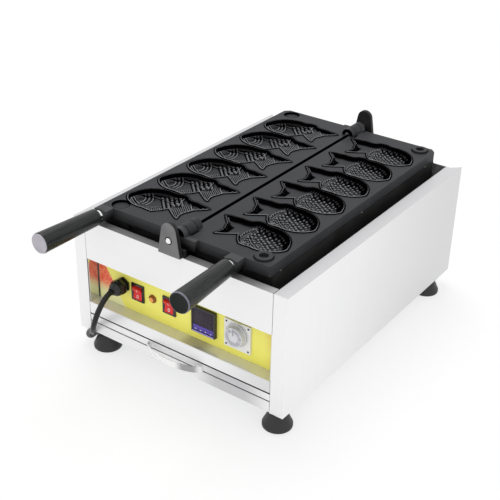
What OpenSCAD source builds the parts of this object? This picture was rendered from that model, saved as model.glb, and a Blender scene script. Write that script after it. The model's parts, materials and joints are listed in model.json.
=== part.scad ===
// Electric fish-waffle cooker with two hinged baking plates, a control recess and a crumb drawer.
// X runs to the right, Y to the back and Z up. The floor is Z = 0 and the front faces -Y.

/* [Casing] */
// Width of the casing
casing_w = 430; // [426:1:450]
// Depth of the casing
casing_d = 584; // [580:1:600]
// Height of the casing without its feet
casing_h = 220; // [218:1:230]
// Thickness of the steel sheet
sheet_t = 1.5; // [1.2:0.1:2]
// Width of the flanges round each side panel
side_flange = 25; // [22:1:26]
// Depth of the rear panel's top flange
rear_flange = 16; // [12:1:16]
// Depth of the fold along the top of the upper front panel
front_fold = 15; // [12:1:17]
// Dark joint between two neighbouring sheets
sheet_joint = 0.8; // [0.4:0.1:1]
// Depth of the control recess
recess_depth = 24; // [20:1:26]
// Height of the control recess
recess_h = 86; // [82:1:88]
// Height of the strip under the recess
strip_h = 22.4; // [20:0.2:24]

/* [Feet] */
// Height of a rubber foot
foot_h = 28; // [24:1:32]
// Diameter of a foot at the floor
foot_base_d = 50; // [44:1:56]
// Diameter of a foot at the casing
foot_top_d = 30; // [28:1:34]
// Distance from the left side to the left feet's centres
foot_left_in = 50; // [48:1:52]
// Distance from the right side to the right feet's centres
foot_right_in = 18; // [16:1:20]
// Distance from the front to the front feet's centres
foot_front_in = 14; // [12:1:18]
// Distance from the back to the rear feet's centres
foot_rear_in = 58; // [40:1:70]
// Shank diameter of a foot's screw
foot_screw_d = 6; // [5:0.5:8]

/* [Baking plates] */
// Height of the hinge axis above the casing
axis_rise = 28; // [27:0.5:32]
// Distance from the hinge axis to a plate's outer edge
plate_reach = 168; // [165:1:172]
// Gap from the hinge axis to a plate's inner edge
hinge_gap = 3.5; // [2:0.1:4]
// Distance from the casing's front to the plates' front edge
plate_front_in = 22; // [18:1:24]
// Distance from the casing's back to the plates' rear edge
plate_rear_in = 18; // [16:1:24]
// Thickness of a plate under its rims
plate_t = 18.2; // [17.5:0.1:20]
// Height of the rim round each fish
rim_h = 1.2; // [0.8:0.1:1.6]
// Width of the rim round each fish
rim_w = 2.2; // [1.5:0.1:2.6]
// Gap between the rims of the closed plates
closing_gap = 0.1; // [0.06:0.02:0.3]
// Number of fish in a plate
fish_count = 6; // [1:1:6]
// Distance between neighbouring fish
fish_pitch = 80; // [80:1:82]
// Depth of a fish along its edge
edge_depth = 6; // [4:0.5:7]
// Depth of a fish over its body
body_depth = 11; // [9:0.5:12]
// Depth of a fish in its middle
belly_depth = 14; // [13:0.5:15]
// Chamfer on the outer rear corner of a plate
corner_chamfer = 9; // [4:1:14]
// Outer diameter of a locating ring
ring_d = 28.5; // [26:0.5:29]
// Hole diameter of a locating ring
ring_hole_d = 15.5; // [12:0.5:18]
// Height of a locating ring
ring_h = 3; // [2:0.2:3.4]
// Distance from the plate's outer edge to the ring's centre
ring_side_in = 25; // [22:1:28]
// Distance from the plate's ends to the ring's centre
ring_end_in = 19; // [17:1:22]
// Clearance round a ring in its recess
ring_clearance = 0.75; // [0.5:0.05:1]

/* [Hinges] */
// Diameter of a hinge knuckle
knuckle_d = 24; // [23:0.5:26]
// Length of the middle knuckle
mid_knuckle = 20; // [16:0.5:22]
// Length of each outer knuckle
outer_knuckle = 13.5; // [12:0.5:14]
// Diameter of a hinge pin
pin_d = 10; // [8:0.5:12]
// Radial running clearance of a hinge pin
pin_clearance = 0.05; // [0.02:0.01:0.1]
// Distance from the casing's front to the first knuckle
knuckle_in = 13.5; // [12.5:0.5:15]
// End gap between two knuckles
knuckle_gap = 1.2; // [0.8:0.1:1.5]
// Thickness of a hinge post
post_t = 8; // [6:0.5:9]
// How far a post stands proud of the casing
post_proud = 10; // [9.5:0.5:12]
// Width of a post at the casing
post_w = 44; // [40:1:48]
// Diameter of a post's round head
post_head_d = 29; // [26:1:32]
// How far a post stands above the hinge axis
post_above_axis = 30; // [26:1:32]
// Length of a pin's bright end outside its post
pin_end = 1.5; // [1:0.5:3]
// Length of a post's leg behind the panel
post_leg = 46; // [40:1:50]

/* [Handles] */
// Length of a grip with its cap
grip_l = 121; // [100:1:140]
// Diameter of a grip at the plate
grip_near_d = 28.4; // [26:0.2:30]
// Diameter of a grip at its free end
grip_far_d = 34.6; // [32:0.2:36]
// Thickness of a grip's end cap
cap_t = 3; // [2:0.5:4]
// Distance from the hinge axis to the left handle at its root
left_handle_x = 155.5; // [150:0.5:158]
// Distance from the hinge axis to the right handle at its root
right_handle_x = 108.5; // [100:0.5:112]
// Depth of a handle below the parting plane
handle_drop = 10; // [9.6:0.2:10.4]
// Outward splay of a handle in degrees
splay = 3; // [0:0.5:4]
// Diameter of a handle's steel stud
stud_d = 10; // [8:0.5:11]
// Diameter of the bright collar
collar_d = 20; // [18:0.5:21]
// Length of the bright collar
collar_l = 9; // [6:0.5:10]
// Width of the boss that holds a stud
boss_w = 25; // [22:1:26]
// Length of the boss in front of the plate
boss_l = 18; // [14:1:20]

/* [Troughs and heaters] */
// Height of a heating trough
trough_h = 77; // [70:1:80]
// Gap between a trough and the plate above it
trough_gap = 1.5; // [1.2:0.1:2.5]
// Distance from the hinge axis to a trough's inner wall
trough_inner = 22; // [20:1:24]
// Distance from the casing's front to the troughs
trough_front_in = 30; // [28:1:32]
// Distance from the casing's back to the troughs
trough_rear_in = 24; // [22:1:30]
// Diameter of a heating rod
heater_d = 8; // [6.5:0.5:9]
// Spacing of the heating rods
heater_pitch = 30; // [28:1:32]
// Height of the heating rods above the trough's floor
heater_rise = 37; // [30:1:44]
// Width of the inward lip round a trough
trough_lip = 8; // [7:1:9]

/* [Drawer] */
// Height of the drawer front's lower edge above the casing's
drawer_lift = 2; // [1:0.5:3]
// Height of the drawer's front
drawer_h = 33.6; // [33:0.2:34.4]
// Dark gap between the drawer's front and the strip above it
drawer_gap = 3; // [2:0.5:4]
// Width of the crumb tray
tray_w = 286; // [280:1:304]
// Length of the crumb tray
tray_l = 505; // [440:1:520]
// Height of the crumb tray
tray_h = 26; // [20:1:27]
// Thickness of the tray's sheet
tray_t = 1.2; // [1:0.1:1.5]
// Width of the pull
pull_w = 116; // [90:1:140]
// How far the pull bows out
pull_reach = 20; // [16:1:30]
// Height of the pull's strap
pull_h = 12; // [10:0.5:14]
// Thickness of the pull's strap
pull_t = 2; // [1.5:0.1:2.5]

/* [Controls] */
// Side of the square temperature controller
controller_w = 48; // [46:1:50]
// Centre of the controller to the right of the middle
controller_x = 44.5; // [42:0.5:47]
// Side of the square timer
timer_w = 51; // [48:1:52]
// Centre of the timer to the right of the middle
timer_x = 111.5; // [108:0.5:120]
// Diameter of the timer's dial
dial_d = 40; // [34:1:42]
// Width of a rocker switch
switch_w = 27; // [24:0.5:28]
// Height of a rocker switch
switch_h = 32; // [30:0.5:34]
// Centre of the left switch, left of the middle
left_switch_x = 97; // [95:0.5:98]
// Centre of the right switch, left of the middle
right_switch_x = 29; // [28:0.5:33]
// Tilt of a rocker to either side in degrees
rocker_tilt = 9; // [6:0.5:10]
// Centre of the signal lamp, left of the middle
lamp_x = 65; // [62:0.5:67]
// Diameter of the signal lamp
lamp_d = 15; // [12:0.5:17]
// Height of the row of controls above the recess's floor
row_rise = 41; // [40:0.5:43]
// Travel of a controller key
key_travel = 0.8; // [0.5:0.1:1]
// Thickness of the printed film on the recess
film_t = 0.3; // [0.2:0.05:0.4]

/* [Mains lead] */
// Diameter of the lead
cord_d = 9.6; // [9:0.1:9.8]
// Centre of the cable gland, left of the middle
gland_x = 129; // [128:0.5:130]
// Width of the gland's hexagon across its corners
gland_hex_d = 31; // [28:0.5:31]
// Height of the gland above the row of controls
gland_rise = 5; // [4:0.5:6]
// Diameter of the coil at the middle of its turns
coil_d = 100; // [94:1:102]
// Step from one turn of the coil to the next
coil_step = 10.4; // [10.1:0.1:11]
// Turns in the lower layer of the coil
coil_turns_in = 1.5; // [1.5:1:1.5]
// Turns in the upper layer of the coil
coil_turns_out = 1.75; // [1.75:1:1.75]
// Straight run from the coil to the plug
coil_tail = 44; // [42:1:50]

/* [Hidden] */
$fn = 64;
eps = 0.01;

// Clearances that several pieces share
fit_gap = 0.1;
screw_gap = 0.2;
slide_gap = 0.3;

// Faces of the casing, measured from its middle
side_x = casing_w / 2;
front_y = -casing_d / 2;
back_y = casing_d / 2;
bottom_z = foot_h;
top_z = foot_h + casing_h;
flange_x = side_x - side_flange;
panel_x = flange_x - sheet_joint;
drawer_bottom = bottom_z + drawer_lift;
strip_z = drawer_bottom + drawer_h + drawer_gap;
ledge_z = strip_z + strip_h;
soffit_z = ledge_z + recess_h;
recess_y = front_y + recess_depth;
film_y = recess_y - film_t;
tab_w = 22;
tab_margin = 10;
pan_lap = 12;
rear_sheet_y = back_y - 2 * sheet_t;
pan_set_back = 2;
case_screw_r = 2;
case_screw_x = side_x - side_flange / 2;
case_screw_in = 30;
case_screw_z = [bottom_z + case_screw_in, bottom_z + casing_h / 2, top_z - case_screw_in];

// Plates and hinges
axis_z = top_z + axis_rise;
plate_top = axis_z - closing_gap / 2 - rim_h;
plate_bottom = plate_top - plate_t;
plate_front = front_y + plate_front_in;
plate_back = back_y - plate_rear_in;
knuckle_r = knuckle_d / 2;
pocket_x = knuckle_r + 5;
web_x = 22;
lug_x = 33;
lug_l = plate_front_in - knuckle_in;
knuckle_1 = front_y + knuckle_in;
knuckle_2 = knuckle_1 + outer_knuckle;
knuckle_3 = knuckle_2 + mid_knuckle;
knuckle_end = knuckle_3 + outer_knuckle;
pocket_gap = 1;
edge_round = 3;
post_lift = 2;
post_bolt_r = 3;
post_bolt_l = 14;
post_bolt_x = 12;
post_bolt_drop = 30;
post_bolt_z = top_z - post_bolt_drop;
leg_t = 6;
ring_x = plate_reach - ring_side_in;
ring_y = [plate_front + ring_end_in, plate_back - ring_end_in];

// Handles
handle_z = axis_z - handle_drop;
boss_front = plate_front - boss_l;
stud_depth = 16;
grip_bore_l = 60;
grip_round = 2;
boss_ring = 2;

// The origin lies under the middle of the whole cooker with its grips
front_reach = (collar_l + grip_l) * cos(splay) + grip_far_d / 2 * sin(splay) - boss_front;
rear_reach = back_y + post_proud + pin_end;
y_shift = (front_reach - rear_reach) / 2;

// Troughs
trough_top = plate_bottom - trough_gap;
trough_bottom = trough_top - trough_h;
trough_front = front_y + trough_front_in;
trough_back = back_y - trough_rear_in;
trough_outer = plate_reach - 0.5;
heater_z = trough_bottom + sheet_t + heater_rise;
heater_bend_in = 40;
heater_bend_y = trough_back - heater_bend_in;
heater_end_y = trough_front - 9;
heater_x = 50;
clip_t = 2;
clip_x = 13;
clip_top = 8;
clip_y = [-170, 140];
rail_h = 18;
rail_w = 30;
device_depth = 66;
device_back = recess_y + device_depth;
rail_y = [device_back + 6, trough_back - 78];
rest_y = [trough_front + 22, 2, trough_back - 33];
rest_r = 4.5;
rest_h = trough_gap - fit_gap;
rest_in = 4.5;
trough_screw_drop = 8;
trough_screw_x = 112;
probe_x = 95;
probe_z = trough_top - 22;
probe_r = 3;

// Feet
foot_x = [-side_x + foot_left_in, side_x - foot_right_in];
foot_y = [front_y + foot_front_in, back_y - foot_rear_in];
foot_nut_z = [bottom_z + sheet_t, bottom_z + 2 * sheet_t];
foot_skirt = 7;
foot_head_r = 6.5;
foot_head_in = 12;
foot_head_z = foot_h - foot_head_in;
foot_head_t = 4;
nut_t = 5;
nut_r = 5.5;

// Drawer
tray_bottom = bottom_z + 2 * sheet_t + slide_gap;
tray_front = front_y + 9;
tray_back = tray_front + tray_l;
crease_z = drawer_bottom + 19.2;
crease_w = 1.8;
front_step = 0.4 * sheet_t;
runner_h = 20;
runner_l = 430;
runner_foot = 14;
runner_in = 18;
rivet_r = 2;
pull_z = drawer_bottom + 19;
pull_tab = 16;

// Devices
row_z = ledge_z + row_rise;
cutout_w = 45;
device_gap = 0.5;
bezel_t = 5.7;
bezel_wall = 3;
face_in = 1;
switch_depth = 28;
switch_back = recess_y + switch_depth;
frame_lap = 1.5;
key_w = 7;
key_h = 3.6;
key_step = 10;
key_drop = 17.5;
key_proud = 0.6;
key_gap = 0.2;
key_back = film_y - bezel_t + 4;
rocker_w = 18;
rocker_pivot = 4;
trunnion_r = 1.5;
trunnion_l = 1.4;
dial_z = row_z + 3.5;
dial_shaft_r = 3;
dial_t = 10;
timer_flange_t = 4;
gland_z = row_z + gland_rise;
gland_thread_r = 9;
gland_end = front_y - 8;
cord_gap = 0.15;
cord_bore_r = cord_d / 2 + cord_gap;
shelf_z = strip_z + 3;
shelf_top = shelf_z + sheet_t;
loom_r = 1.5;
terminal_x = -gland_x;
terminal_y = -222;
terminal_w = 60;
terminal_d = 20;
terminal_h = 22;
contactor_in = 65;
contactor_x = side_x - contactor_in;
contactor_y = -180;
loom_z = shelf_top + 8;
loom_y = -190;

// Mains lead: the route from the gland to the coil, chosen by hand
cord_front = [
    [-129, -256, 135], [-129, -278, 135], [-129, -300, 135], [-128.2, -310, 132.7],
    [-127.5, -319.3, 128.4], [-127.2, -327.4, 122], [-127.7, -333.8, 114], [-129, -338.3, 104.8],
    [-131.2, -340.5, 95], [-134.5, -340.6, 85.2], [-138.6, -338.4, 76.1], [-143, -333.9, 67.9],
    [-147.8, -327.7, 61.2], [-154, -321.1, 56.3], [-161.3, -315.3, 52], [-169.4, -311, 47.2],
    [-177.2, -307.9, 41.2], [-183.4, -305, 33.6], [-188.1, -300.6, 25.5], [-191.9, -294.2, 18.4],
    [-195.6, -286.2, 13], [-199.3, -277.2, 9.7], [-201.8, -267.3, 7.9], [-203, -257.2, 6.8],
    [-203.2, -246.9, 6.1], [-202.9, -236.6, 5.7], [-202.3, -226.2, 5.4], [-201.8, -215.9, 5.2],
    [-201.4, -205.6, 5.1], [-201.1, -195.3, 5], [-201, -185, 5]
];
cord_under = [for (y = [-160:30:260]) [-201, y, 5]];
cord_back = [[-201, 290, 5], [-201, 320, 5], [-201, 354, 5]];
cord_route = concat(cord_front, cord_under, cord_back);
cord_sides = 8;
coil_sides = 6;
coil_rings = 24;
coil_lift = cord_d + 0.5;
coil_start = cord_route[len(cord_route) - 1];
coil_turns = coil_turns_in + coil_turns_out;
coil_outer = coil_d / 2 + coil_step * coil_turns_in / 2;
coil_centre = [coil_start[0] + coil_outer, coil_start[1] + cord_d];
plug_l = 46;
plug_neck_r = 7;
plug_r = coil_start[2] + coil_lift - 0.3;
plug_pin_r = 2.4;
plug_pin_l = 19;
plug_pin_gap = 9.5;

// Outline of one fish, nose towards +X, in the plane of the right plate
fish_tail_top = [
    [16.5, 22.5], [25, 25.5], [36, 26.4], [45, 28.2], [55, 27.6], [63, 28.8],
    [71.7, 35.4], [79, 37.2], [88, 35.6], [93, 33.2]
];
fish_back = [[97, 33.4], [128, 36], [150, 23], [158.3, -12]];
fish_belly = [[158, -17], [150, -32], [130, -44], [107, -39]];
fish_fin_tail = [
    [93, -40.2], [88, -39.6], [78, -29], [70, -15.6], [57, -25], [45, -33], [38.5, -36],
    [42.5, -24], [41.7, -14], [38, -5.6], [35, 3], [25, 13]
];
curve_steps = 7;
fish_outline = concat(
    fish_tail_top, bezier(fish_back, curve_steps), bezier(fish_belly, curve_steps), fish_fin_tail
);
body_outline = concat(
    [[72, 33], [84, 35]], bezier(fish_back, curve_steps), bezier(fish_belly, curve_steps),
    [[88, -36], [72, -19]]
);
body_inset = 4;
belly_inset = 9;

// Points along a curve with two end points and two handles
function bezier(p, n) = [
    for (i = [0:n])
        let (t = i / n, s = 1 - t)
        s * s * s * p[0] + 3 * s * s * t * p[1] + 3 * s * t * t * p[2] + t * t * t * p[3]
];

function unit(v) = v / norm(v);
function left_of(v) = [-v[1], v[0]];

// A clockwise outline whose corners are moved outwards by d
function grown(p, d) =
    let (n = len(p))
    [
        for (i = [0:n - 1])
            let (
                a = left_of(unit(p[i] - p[(i + n - 1) % n])),
                b = left_of(unit(p[(i + 1) % n] - p[i]))
            )
            p[i] + d * (a + b) / max(0.7, 1 + a * b)
    ];

// Direction of travel at each point of a route
function tangents(p) = [
    for (i = [0:len(p) - 1])
        unit(p[min(i + 1, len(p) - 1)] - p[max(i - 1, 0)])
];

// A cross direction carried along a route without twisting
function side_steps(t, start) = [
    for (i = 0, n = unit(start - (start * t[0]) * t[0]);
        i < len(t);
        i = i + 1, n = i < len(t) ? unit(n - (n * t[i]) * t[i]) : n) n
];

// Points of the coil: in along the floor, up in the half turn where it reverses, and out again
function coil_point(turn) =
    let (
        inwards = min(turn, coil_turns_in),
        outwards = max(turn - coil_turns_in, 0),
        r = coil_outer - coil_step * inwards + coil_step * outwards,
        a = 180 - 360 * turn,
        climb = min(max((turn - coil_turns_in + 0.25) * 2, 0), 1),
        z = coil_start[2] + coil_lift * (3 - 2 * climb) * climb * climb
    )
    [coil_centre[0] + r * cos(a), coil_centre[1] + r * sin(a), z];
coil_count = round(coil_turns * coil_rings);
coil_turn_points = [for (i = [0:coil_count]) coil_point(i / coil_rings)];
coil_last = coil_turn_points[coil_count];
plug_start = coil_last + [coil_tail, 0, 0];
coil_path = concat(
    [coil_start], coil_turn_points, [coil_last + [cord_d, 0, 0], plug_start]
);
coil_near = coil_rings / 2;
coil_gap = min([
    for (i = [0:coil_count])
        for (j = [i + coil_near:1:coil_count])
            norm(coil_turn_points[i] - coil_turn_points[j])
]) - cord_d;
echo(coil_gap = coil_gap);

module placed() {
    translate([0, y_shift, 0])
        children();
}

module block(low, high) {
    translate(low)
        cube(high - low);
}

// A block that is as far to the left of the middle as to the right
module wide_block(half_x, y0, y1, z0, z1) {
    block([-half_x, y0, z0], [half_x, y1, z1]);
}

// A square block along Y at the height of the controls
module square_at(x, half, y0, y1) {
    block([x - half, y0, row_z - half], [x + half, y1, row_z + half]);
}

module rod_y(x, z, r, y0, y1) {
    translate([x, y1, z])
        rotate([90, 0, 0])
            cylinder(r = r, h = y1 - y0);
}

module rod_x(y, z, r, x0, x1) {
    translate([x0, y, z])
        rotate([0, 90, 0])
            cylinder(r = r, h = x1 - x0);
}

module rod_z(x, y, r, z0, z1) {
    translate([x, y, z0])
        cylinder(r = r, h = z1 - z0);
}

module hex_y(x, z, r, y0, y1) {
    translate([x, y1, z])
        rotate([90, 0, 0])
            rotate([0, 0, 30])
                cylinder(r = r, h = y1 - y0, $fn = 6);
}

module at_both_sides() {
    children();
    mirror([1, 0, 0])
        children();
}

// A round tube along a route, closed at both ends
module tube(route, r, sides, start) {
    t = tangents(route);
    n = side_steps(t, start);
    last = len(route) - 1;
    points = concat(
        [for (i = [0:last])
            for (j = [0:sides - 1])
                let (a = 360 * (j + 0.5) / sides)
                route[i] + r * cos(a) * n[i] + r * sin(a) * cross(t[i], n[i])],
        [route[0], route[last]]
    );
    walls = [
        for (i = [0:last - 1])
            for (j = [0:sides - 1])
                let (a = i * sides + j, b = i * sides + (j + 1) % sides)
                for (f = [[a, b + sides, b], [a, a + sides, b + sides]]) f
    ];
    hub = (last + 1) * sides;
    ends = [
        for (j = [0:sides - 1])
            let (k = (j + 1) % sides, top = last * sides)
            for (f = [[hub, j, k], [hub + 1, top + k, top + j]]) f
    ];
    polyhedron(points = points, faces = concat(walls, ends));
}

// Casing
module side_panel() {
    inner = flange_x;
    wall = side_x - sheet_t;
    difference() {
        union() {
            block([wall, front_y, bottom_z], [side_x, back_y, top_z]);
            block([inner, front_y, bottom_z], [side_x, front_y + sheet_t, top_z]);
            block([inner, back_y - sheet_t, bottom_z], [side_x, back_y, top_z]);
            block([inner, front_y, bottom_z], [side_x, back_y, bottom_z + sheet_t]);
            translate([0, 0, top_z - sheet_t])
                linear_extrude(sheet_t)
                    polygon([[inner, front_y], [side_x, front_y], [side_x, back_y], [inner, back_y]]);
        }
        for (z = case_screw_z)
            rod_y(case_screw_x, z, case_screw_r + screw_gap, back_y - sheet_t - 1, back_y + 1);
        translate([0, 0, top_z - sheet_t])
            linear_extrude(sheet_t + 1)
                rear_flange_outline();
    }
}

// Top flange of the rear panel, mitred into the side panels
module rear_flange_outline() {
    polygon([
        [-side_x, back_y], [side_x, back_y],
        [side_x - rear_flange, back_y - rear_flange],
        [-side_x + rear_flange, back_y - rear_flange]
    ]);
}

module left_side_panel() {
    color("gainsboro")
        placed()
            mirror([1, 0, 0])
                side_panel();
}

module right_side_panel() {
    color("gainsboro")
        placed()
            difference() {
                side_panel();
                for (y = foot_y)
                    rod_z(foot_x[1], y, foot_screw_d / 2 + screw_gap, bottom_z - 1, bottom_z + 4);
            }
}

module base_pan() {
    inside = side_x - sheet_t - fit_gap;
    lap_x = flange_x - pan_lap;
    color("silver")
        placed()
            difference() {
                union() {
                    wide_block(
                        flange_x - slide_gap, front_y + pan_set_back, back_y - sheet_t,
                        bottom_z, bottom_z + sheet_t
                    );
                    at_both_sides()
                        block(
                            [lap_x, front_y + pan_set_back, bottom_z + sheet_t],
                            [inside, rear_sheet_y, bottom_z + 2 * sheet_t]
                        );
                }
                for (x = foot_x)
                    for (y = foot_y)
                        rod_z(x, y, foot_screw_d / 2 + screw_gap, bottom_z - 1, bottom_z + 4);
            }
}

module rear_panel() {
    vent_w = 4;
    vent_h = 40;
    vent_pitch = 14;
    vent_count = 9;
    color("gainsboro")
        placed()
            difference() {
                union() {
                    wide_block(
                        side_x - sheet_t - fit_gap, rear_sheet_y, back_y - sheet_t,
                        bottom_z + 2 * sheet_t, top_z - sheet_t
                    );
                    translate([0, 0, top_z - sheet_t])
                        linear_extrude(sheet_t)
                            rear_flange_outline();
                    for (s = [-1, 1])
                        rod_y(
                            s * post_bolt_x, post_bolt_z, post_bolt_r,
                            rear_sheet_y - post_bolt_l, rear_sheet_y + eps
                        );
                }
                for (i = [0:vent_count - 1])
                    block(
                        [(i - (vent_count - 1) / 2) * vent_pitch - vent_w / 2, rear_sheet_y - 1, row_z - 20],
                        [(i - (vent_count - 1) / 2) * vent_pitch + vent_w / 2, back_y, row_z - 20 + vent_h]
                    );
                at_both_sides()
                    for (z = case_screw_z)
                        rod_y(case_screw_x, z, case_screw_r + screw_gap, rear_sheet_y - 1, back_y);
                post_notch(back_y - rear_flange - 1, rear_sheet_y);
            }
}

// Cut in the top fold that lets a hinge post's leg through
module post_notch(y0, y1) {
    wide_block(post_w / 2 + slide_gap, y0, y1, top_z - 2 * sheet_t, top_z + 1);
}

module upper_front_panel() {
    color("whitesmoke")
        placed()
            difference() {
                union() {
                    wide_block(panel_x, front_y, front_y + sheet_t, soffit_z, top_z);
                    wide_block(panel_x, front_y, front_y + front_fold, top_z - sheet_t, top_z);
                    wide_block(panel_x, front_y, recess_y + sheet_t, soffit_z, soffit_z + sheet_t);
                    at_both_sides()
                        block(
                            [panel_x - tab_margin, front_y + sheet_t, soffit_z + tab_margin],
                            [flange_x + tab_w - fit_gap, front_y + 2 * sheet_t, top_z - tab_margin]
                        );
                    for (s = [-1, 1])
                        rod_y(
                            s * post_bolt_x, post_bolt_z, post_bolt_r,
                            front_y + sheet_t - eps, front_y + sheet_t + post_bolt_l
                        );
                }
                post_notch(front_y + sheet_t, front_y + front_fold + 1);
            }
}

// Openings for the devices, cut through the panel and its film
module device_cutouts(y0, y1) {
    for (x = [controller_x, timer_x])
        square_at(x, cutout_w / 2, y0, y1);
    for (x = [left_switch_x, right_switch_x])
        block(
            [-x - switch_w / 2 + frame_lap, y0, row_z - switch_h / 2 + frame_lap],
            [-x + switch_w / 2 - frame_lap, y1, row_z + switch_h / 2 - frame_lap]
        );
    rod_y(-lamp_x, row_z, lamp_d / 2 - frame_lap, y0, y1);
    rod_y(-gland_x, gland_z, gland_thread_r + screw_gap, y0, y1);
}

module control_panel() {
    color("gainsboro")
        placed()
            difference() {
                union() {
                    wide_block(panel_x, recess_y, recess_y + sheet_t, ledge_z - sheet_t, soffit_z);
                    wide_block(panel_x, front_y, recess_y + sheet_t, ledge_z - sheet_t, ledge_z);
                    wide_block(panel_x, front_y, front_y + sheet_t, strip_z, ledge_z);
                    wide_block(panel_x, front_y, front_y + front_fold, strip_z, strip_z + sheet_t);
                    at_both_sides()
                        block(
                            [panel_x - sheet_t, front_y + sheet_t, ledge_z - sheet_t],
                            [panel_x, recess_y + sheet_t, soffit_z]
                        );
                    at_both_sides()
                        block(
                            [panel_x - tab_margin, front_y + sheet_t, strip_z + 2],
                            [flange_x + tab_w - fit_gap, front_y + 2 * sheet_t, ledge_z - 2]
                        );
                }
                device_cutouts(recess_y - 1, recess_y + sheet_t + 1);
            }
}

module control_overlay() {
    edge = 0.3;
    color("khaki")
        placed()
            difference() {
                wide_block(panel_x - sheet_t - edge, film_y, recess_y, ledge_z + edge, soffit_z - edge);
                device_cutouts(film_y - 1, recess_y + 1);
            }
}

module service_shelf() {
    hole_r = 12;
    color("silver")
        placed()
            difference() {
                wide_block(side_x - sheet_t - fit_gap, recess_y + sheet_t, rear_sheet_y, shelf_z, shelf_top);
                at_both_sides()
                    rod_z(contactor_x, 0, hole_r, shelf_z - 1, shelf_top + 1);
            }
}

// Feet
module rubber_feet() {
    color("dimgray")
        placed()
            for (x = foot_x)
                for (y = foot_y)
                    translate([x, y, 0])
                        rotate_extrude()
                            polygon([
                                [foot_head_r + 1, 0], [foot_base_d / 2 - 2, 0],
                                [foot_base_d / 2, 2], [foot_base_d / 2, foot_skirt],
                                [foot_top_d / 2, foot_h], [foot_screw_d / 2 + screw_gap, foot_h],
                                [foot_screw_d / 2 + screw_gap, foot_head_z],
                                [foot_head_r + 1, foot_head_z]
                            ]);
}

module foot_screws() {
    color("silver")
        placed()
            for (i = [0, 1])
                for (y = foot_y)
                    translate([foot_x[i], y, 0]) {
                        rod_z(0, 0, foot_screw_d / 2, foot_head_z - 1, foot_nut_z[i] + nut_t + 1);
                        rod_z(0, 0, foot_head_r, foot_head_z - foot_head_t, foot_head_z);
                        translate([0, 0, foot_nut_z[i]])
                            cylinder(r = nut_r, h = nut_t, $fn = 6);
                    }
}

// Troughs and what they hold
module trough() {
    color("dimgray")
        placed()
            difference() {
                block([trough_inner, trough_front, trough_bottom], [trough_outer, trough_back, trough_top]);
                block(
                    [trough_inner + sheet_t, trough_front + sheet_t, trough_bottom + sheet_t],
                    [trough_outer - sheet_t, trough_back - sheet_t, trough_top - sheet_t]
                );
                block(
                    [trough_inner + trough_lip, trough_front + trough_lip, trough_bottom + sheet_t],
                    [trough_outer - trough_lip, trough_back - trough_lip, trough_top + 1]
                );
                for (i = [0:3])
                    rod_y(
                        heater_x + i * heater_pitch, heater_z, heater_d / 2 + 0.5,
                        trough_front - 1, trough_front + sheet_t + 1
                    );
                for (y = rest_y)
                    rod_z(
                        trough_outer - rest_in, y, case_screw_r + screw_gap,
                        trough_top - sheet_t - 1, trough_top + 1
                    );
                rod_y(
                    trough_screw_x, trough_top - trough_screw_drop, case_screw_r + screw_gap,
                    trough_front - 1, trough_front + sheet_t + 1
                );
                rod_y(
                    probe_x, probe_z, probe_r + fit_gap, trough_front - 1, trough_front + sheet_t + 1
                );
            }
}

module left_trough() {
    mirror([1, 0, 0])
        trough();
}

module right_trough() {
    trough();
}

module trough_rails() {
    color("silver")
        placed()
            for (y = rail_y)
                difference() {
                    wide_block(
                        side_x - sheet_t - fit_gap, y, y + rail_w, trough_bottom - rail_h, trough_bottom
                    );
                    wide_block(
                        side_x, y + sheet_t, y + rail_w + 1,
                        trough_bottom - rail_h - 1, trough_bottom - sheet_t
                    );
                }
}

// Half a ring that joins the far ends of two rods, centred on X = x
module rod_bend(x) {
    translate([x, heater_bend_y, heater_z])
        difference() {
            rotate_extrude()
                translate([heater_pitch / 2, 0])
                    circle(d = heater_d);
            translate([-heater_pitch, -2 * heater_pitch, -heater_d])
                cube([2 * heater_pitch, 2 * heater_pitch, 2 * heater_d]);
        }
}

module heater() {
    terminal_r = 1.8;
    terminal_l = 8;
    color("darkgray")
        placed()
            for (i = [0, 2]) {
                for (k = [i, i + 1]) {
                    rod_y(heater_x + k * heater_pitch, heater_z, heater_d / 2, heater_end_y, heater_bend_y);
                    rod_y(
                        heater_x + k * heater_pitch, heater_z, terminal_r,
                        heater_end_y - terminal_l, heater_end_y + 1
                    );
                }
                rod_bend(heater_x + (i + 0.5) * heater_pitch);
            }
}

module left_heater() {
    mirror([1, 0, 0])
        heater();
}

module right_heater() {
    heater();
}

module heater_clips() {
    color("silver")
        placed()
            at_both_sides()
                for (y = clip_y)
                    difference() {
                        block(
                            [heater_x - clip_x, y, trough_bottom + sheet_t],
                            [heater_x + 3 * heater_pitch + clip_x, y + clip_t, heater_z + clip_top]
                        );
                        for (i = [0:3])
                            rod_y(
                                heater_x + i * heater_pitch, heater_z, heater_d / 2 + fit_gap,
                                y - 1, y + clip_t + 1
                            );
                    }
}

module plate_rest_bolts() {
    color("silver")
        placed()
            at_both_sides()
                for (y = rest_y)
                    translate([trough_outer - rest_in, y, 0]) {
                        rod_z(0, 0, rest_r, trough_top, trough_top + rest_h);
                        rod_z(0, 0, case_screw_r, trough_top - sheet_t - 6, trough_top + eps);
                    }
}

// A screw along Y whose head stands outside the sheet, at the side that dir points to
module case_screw(x, y, z, dir) {
    head_r = 4;
    head_t = 2.4;
    shank = 9;
    if (dir > 0) {
        rod_y(x, z, case_screw_r, y - shank, y + eps);
        rod_y(x, z, head_r, y, y + head_t);
    } else {
        rod_y(x, z, case_screw_r, y - eps, y + shank);
        rod_y(x, z, head_r, y - head_t, y);
    }
}

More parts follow.
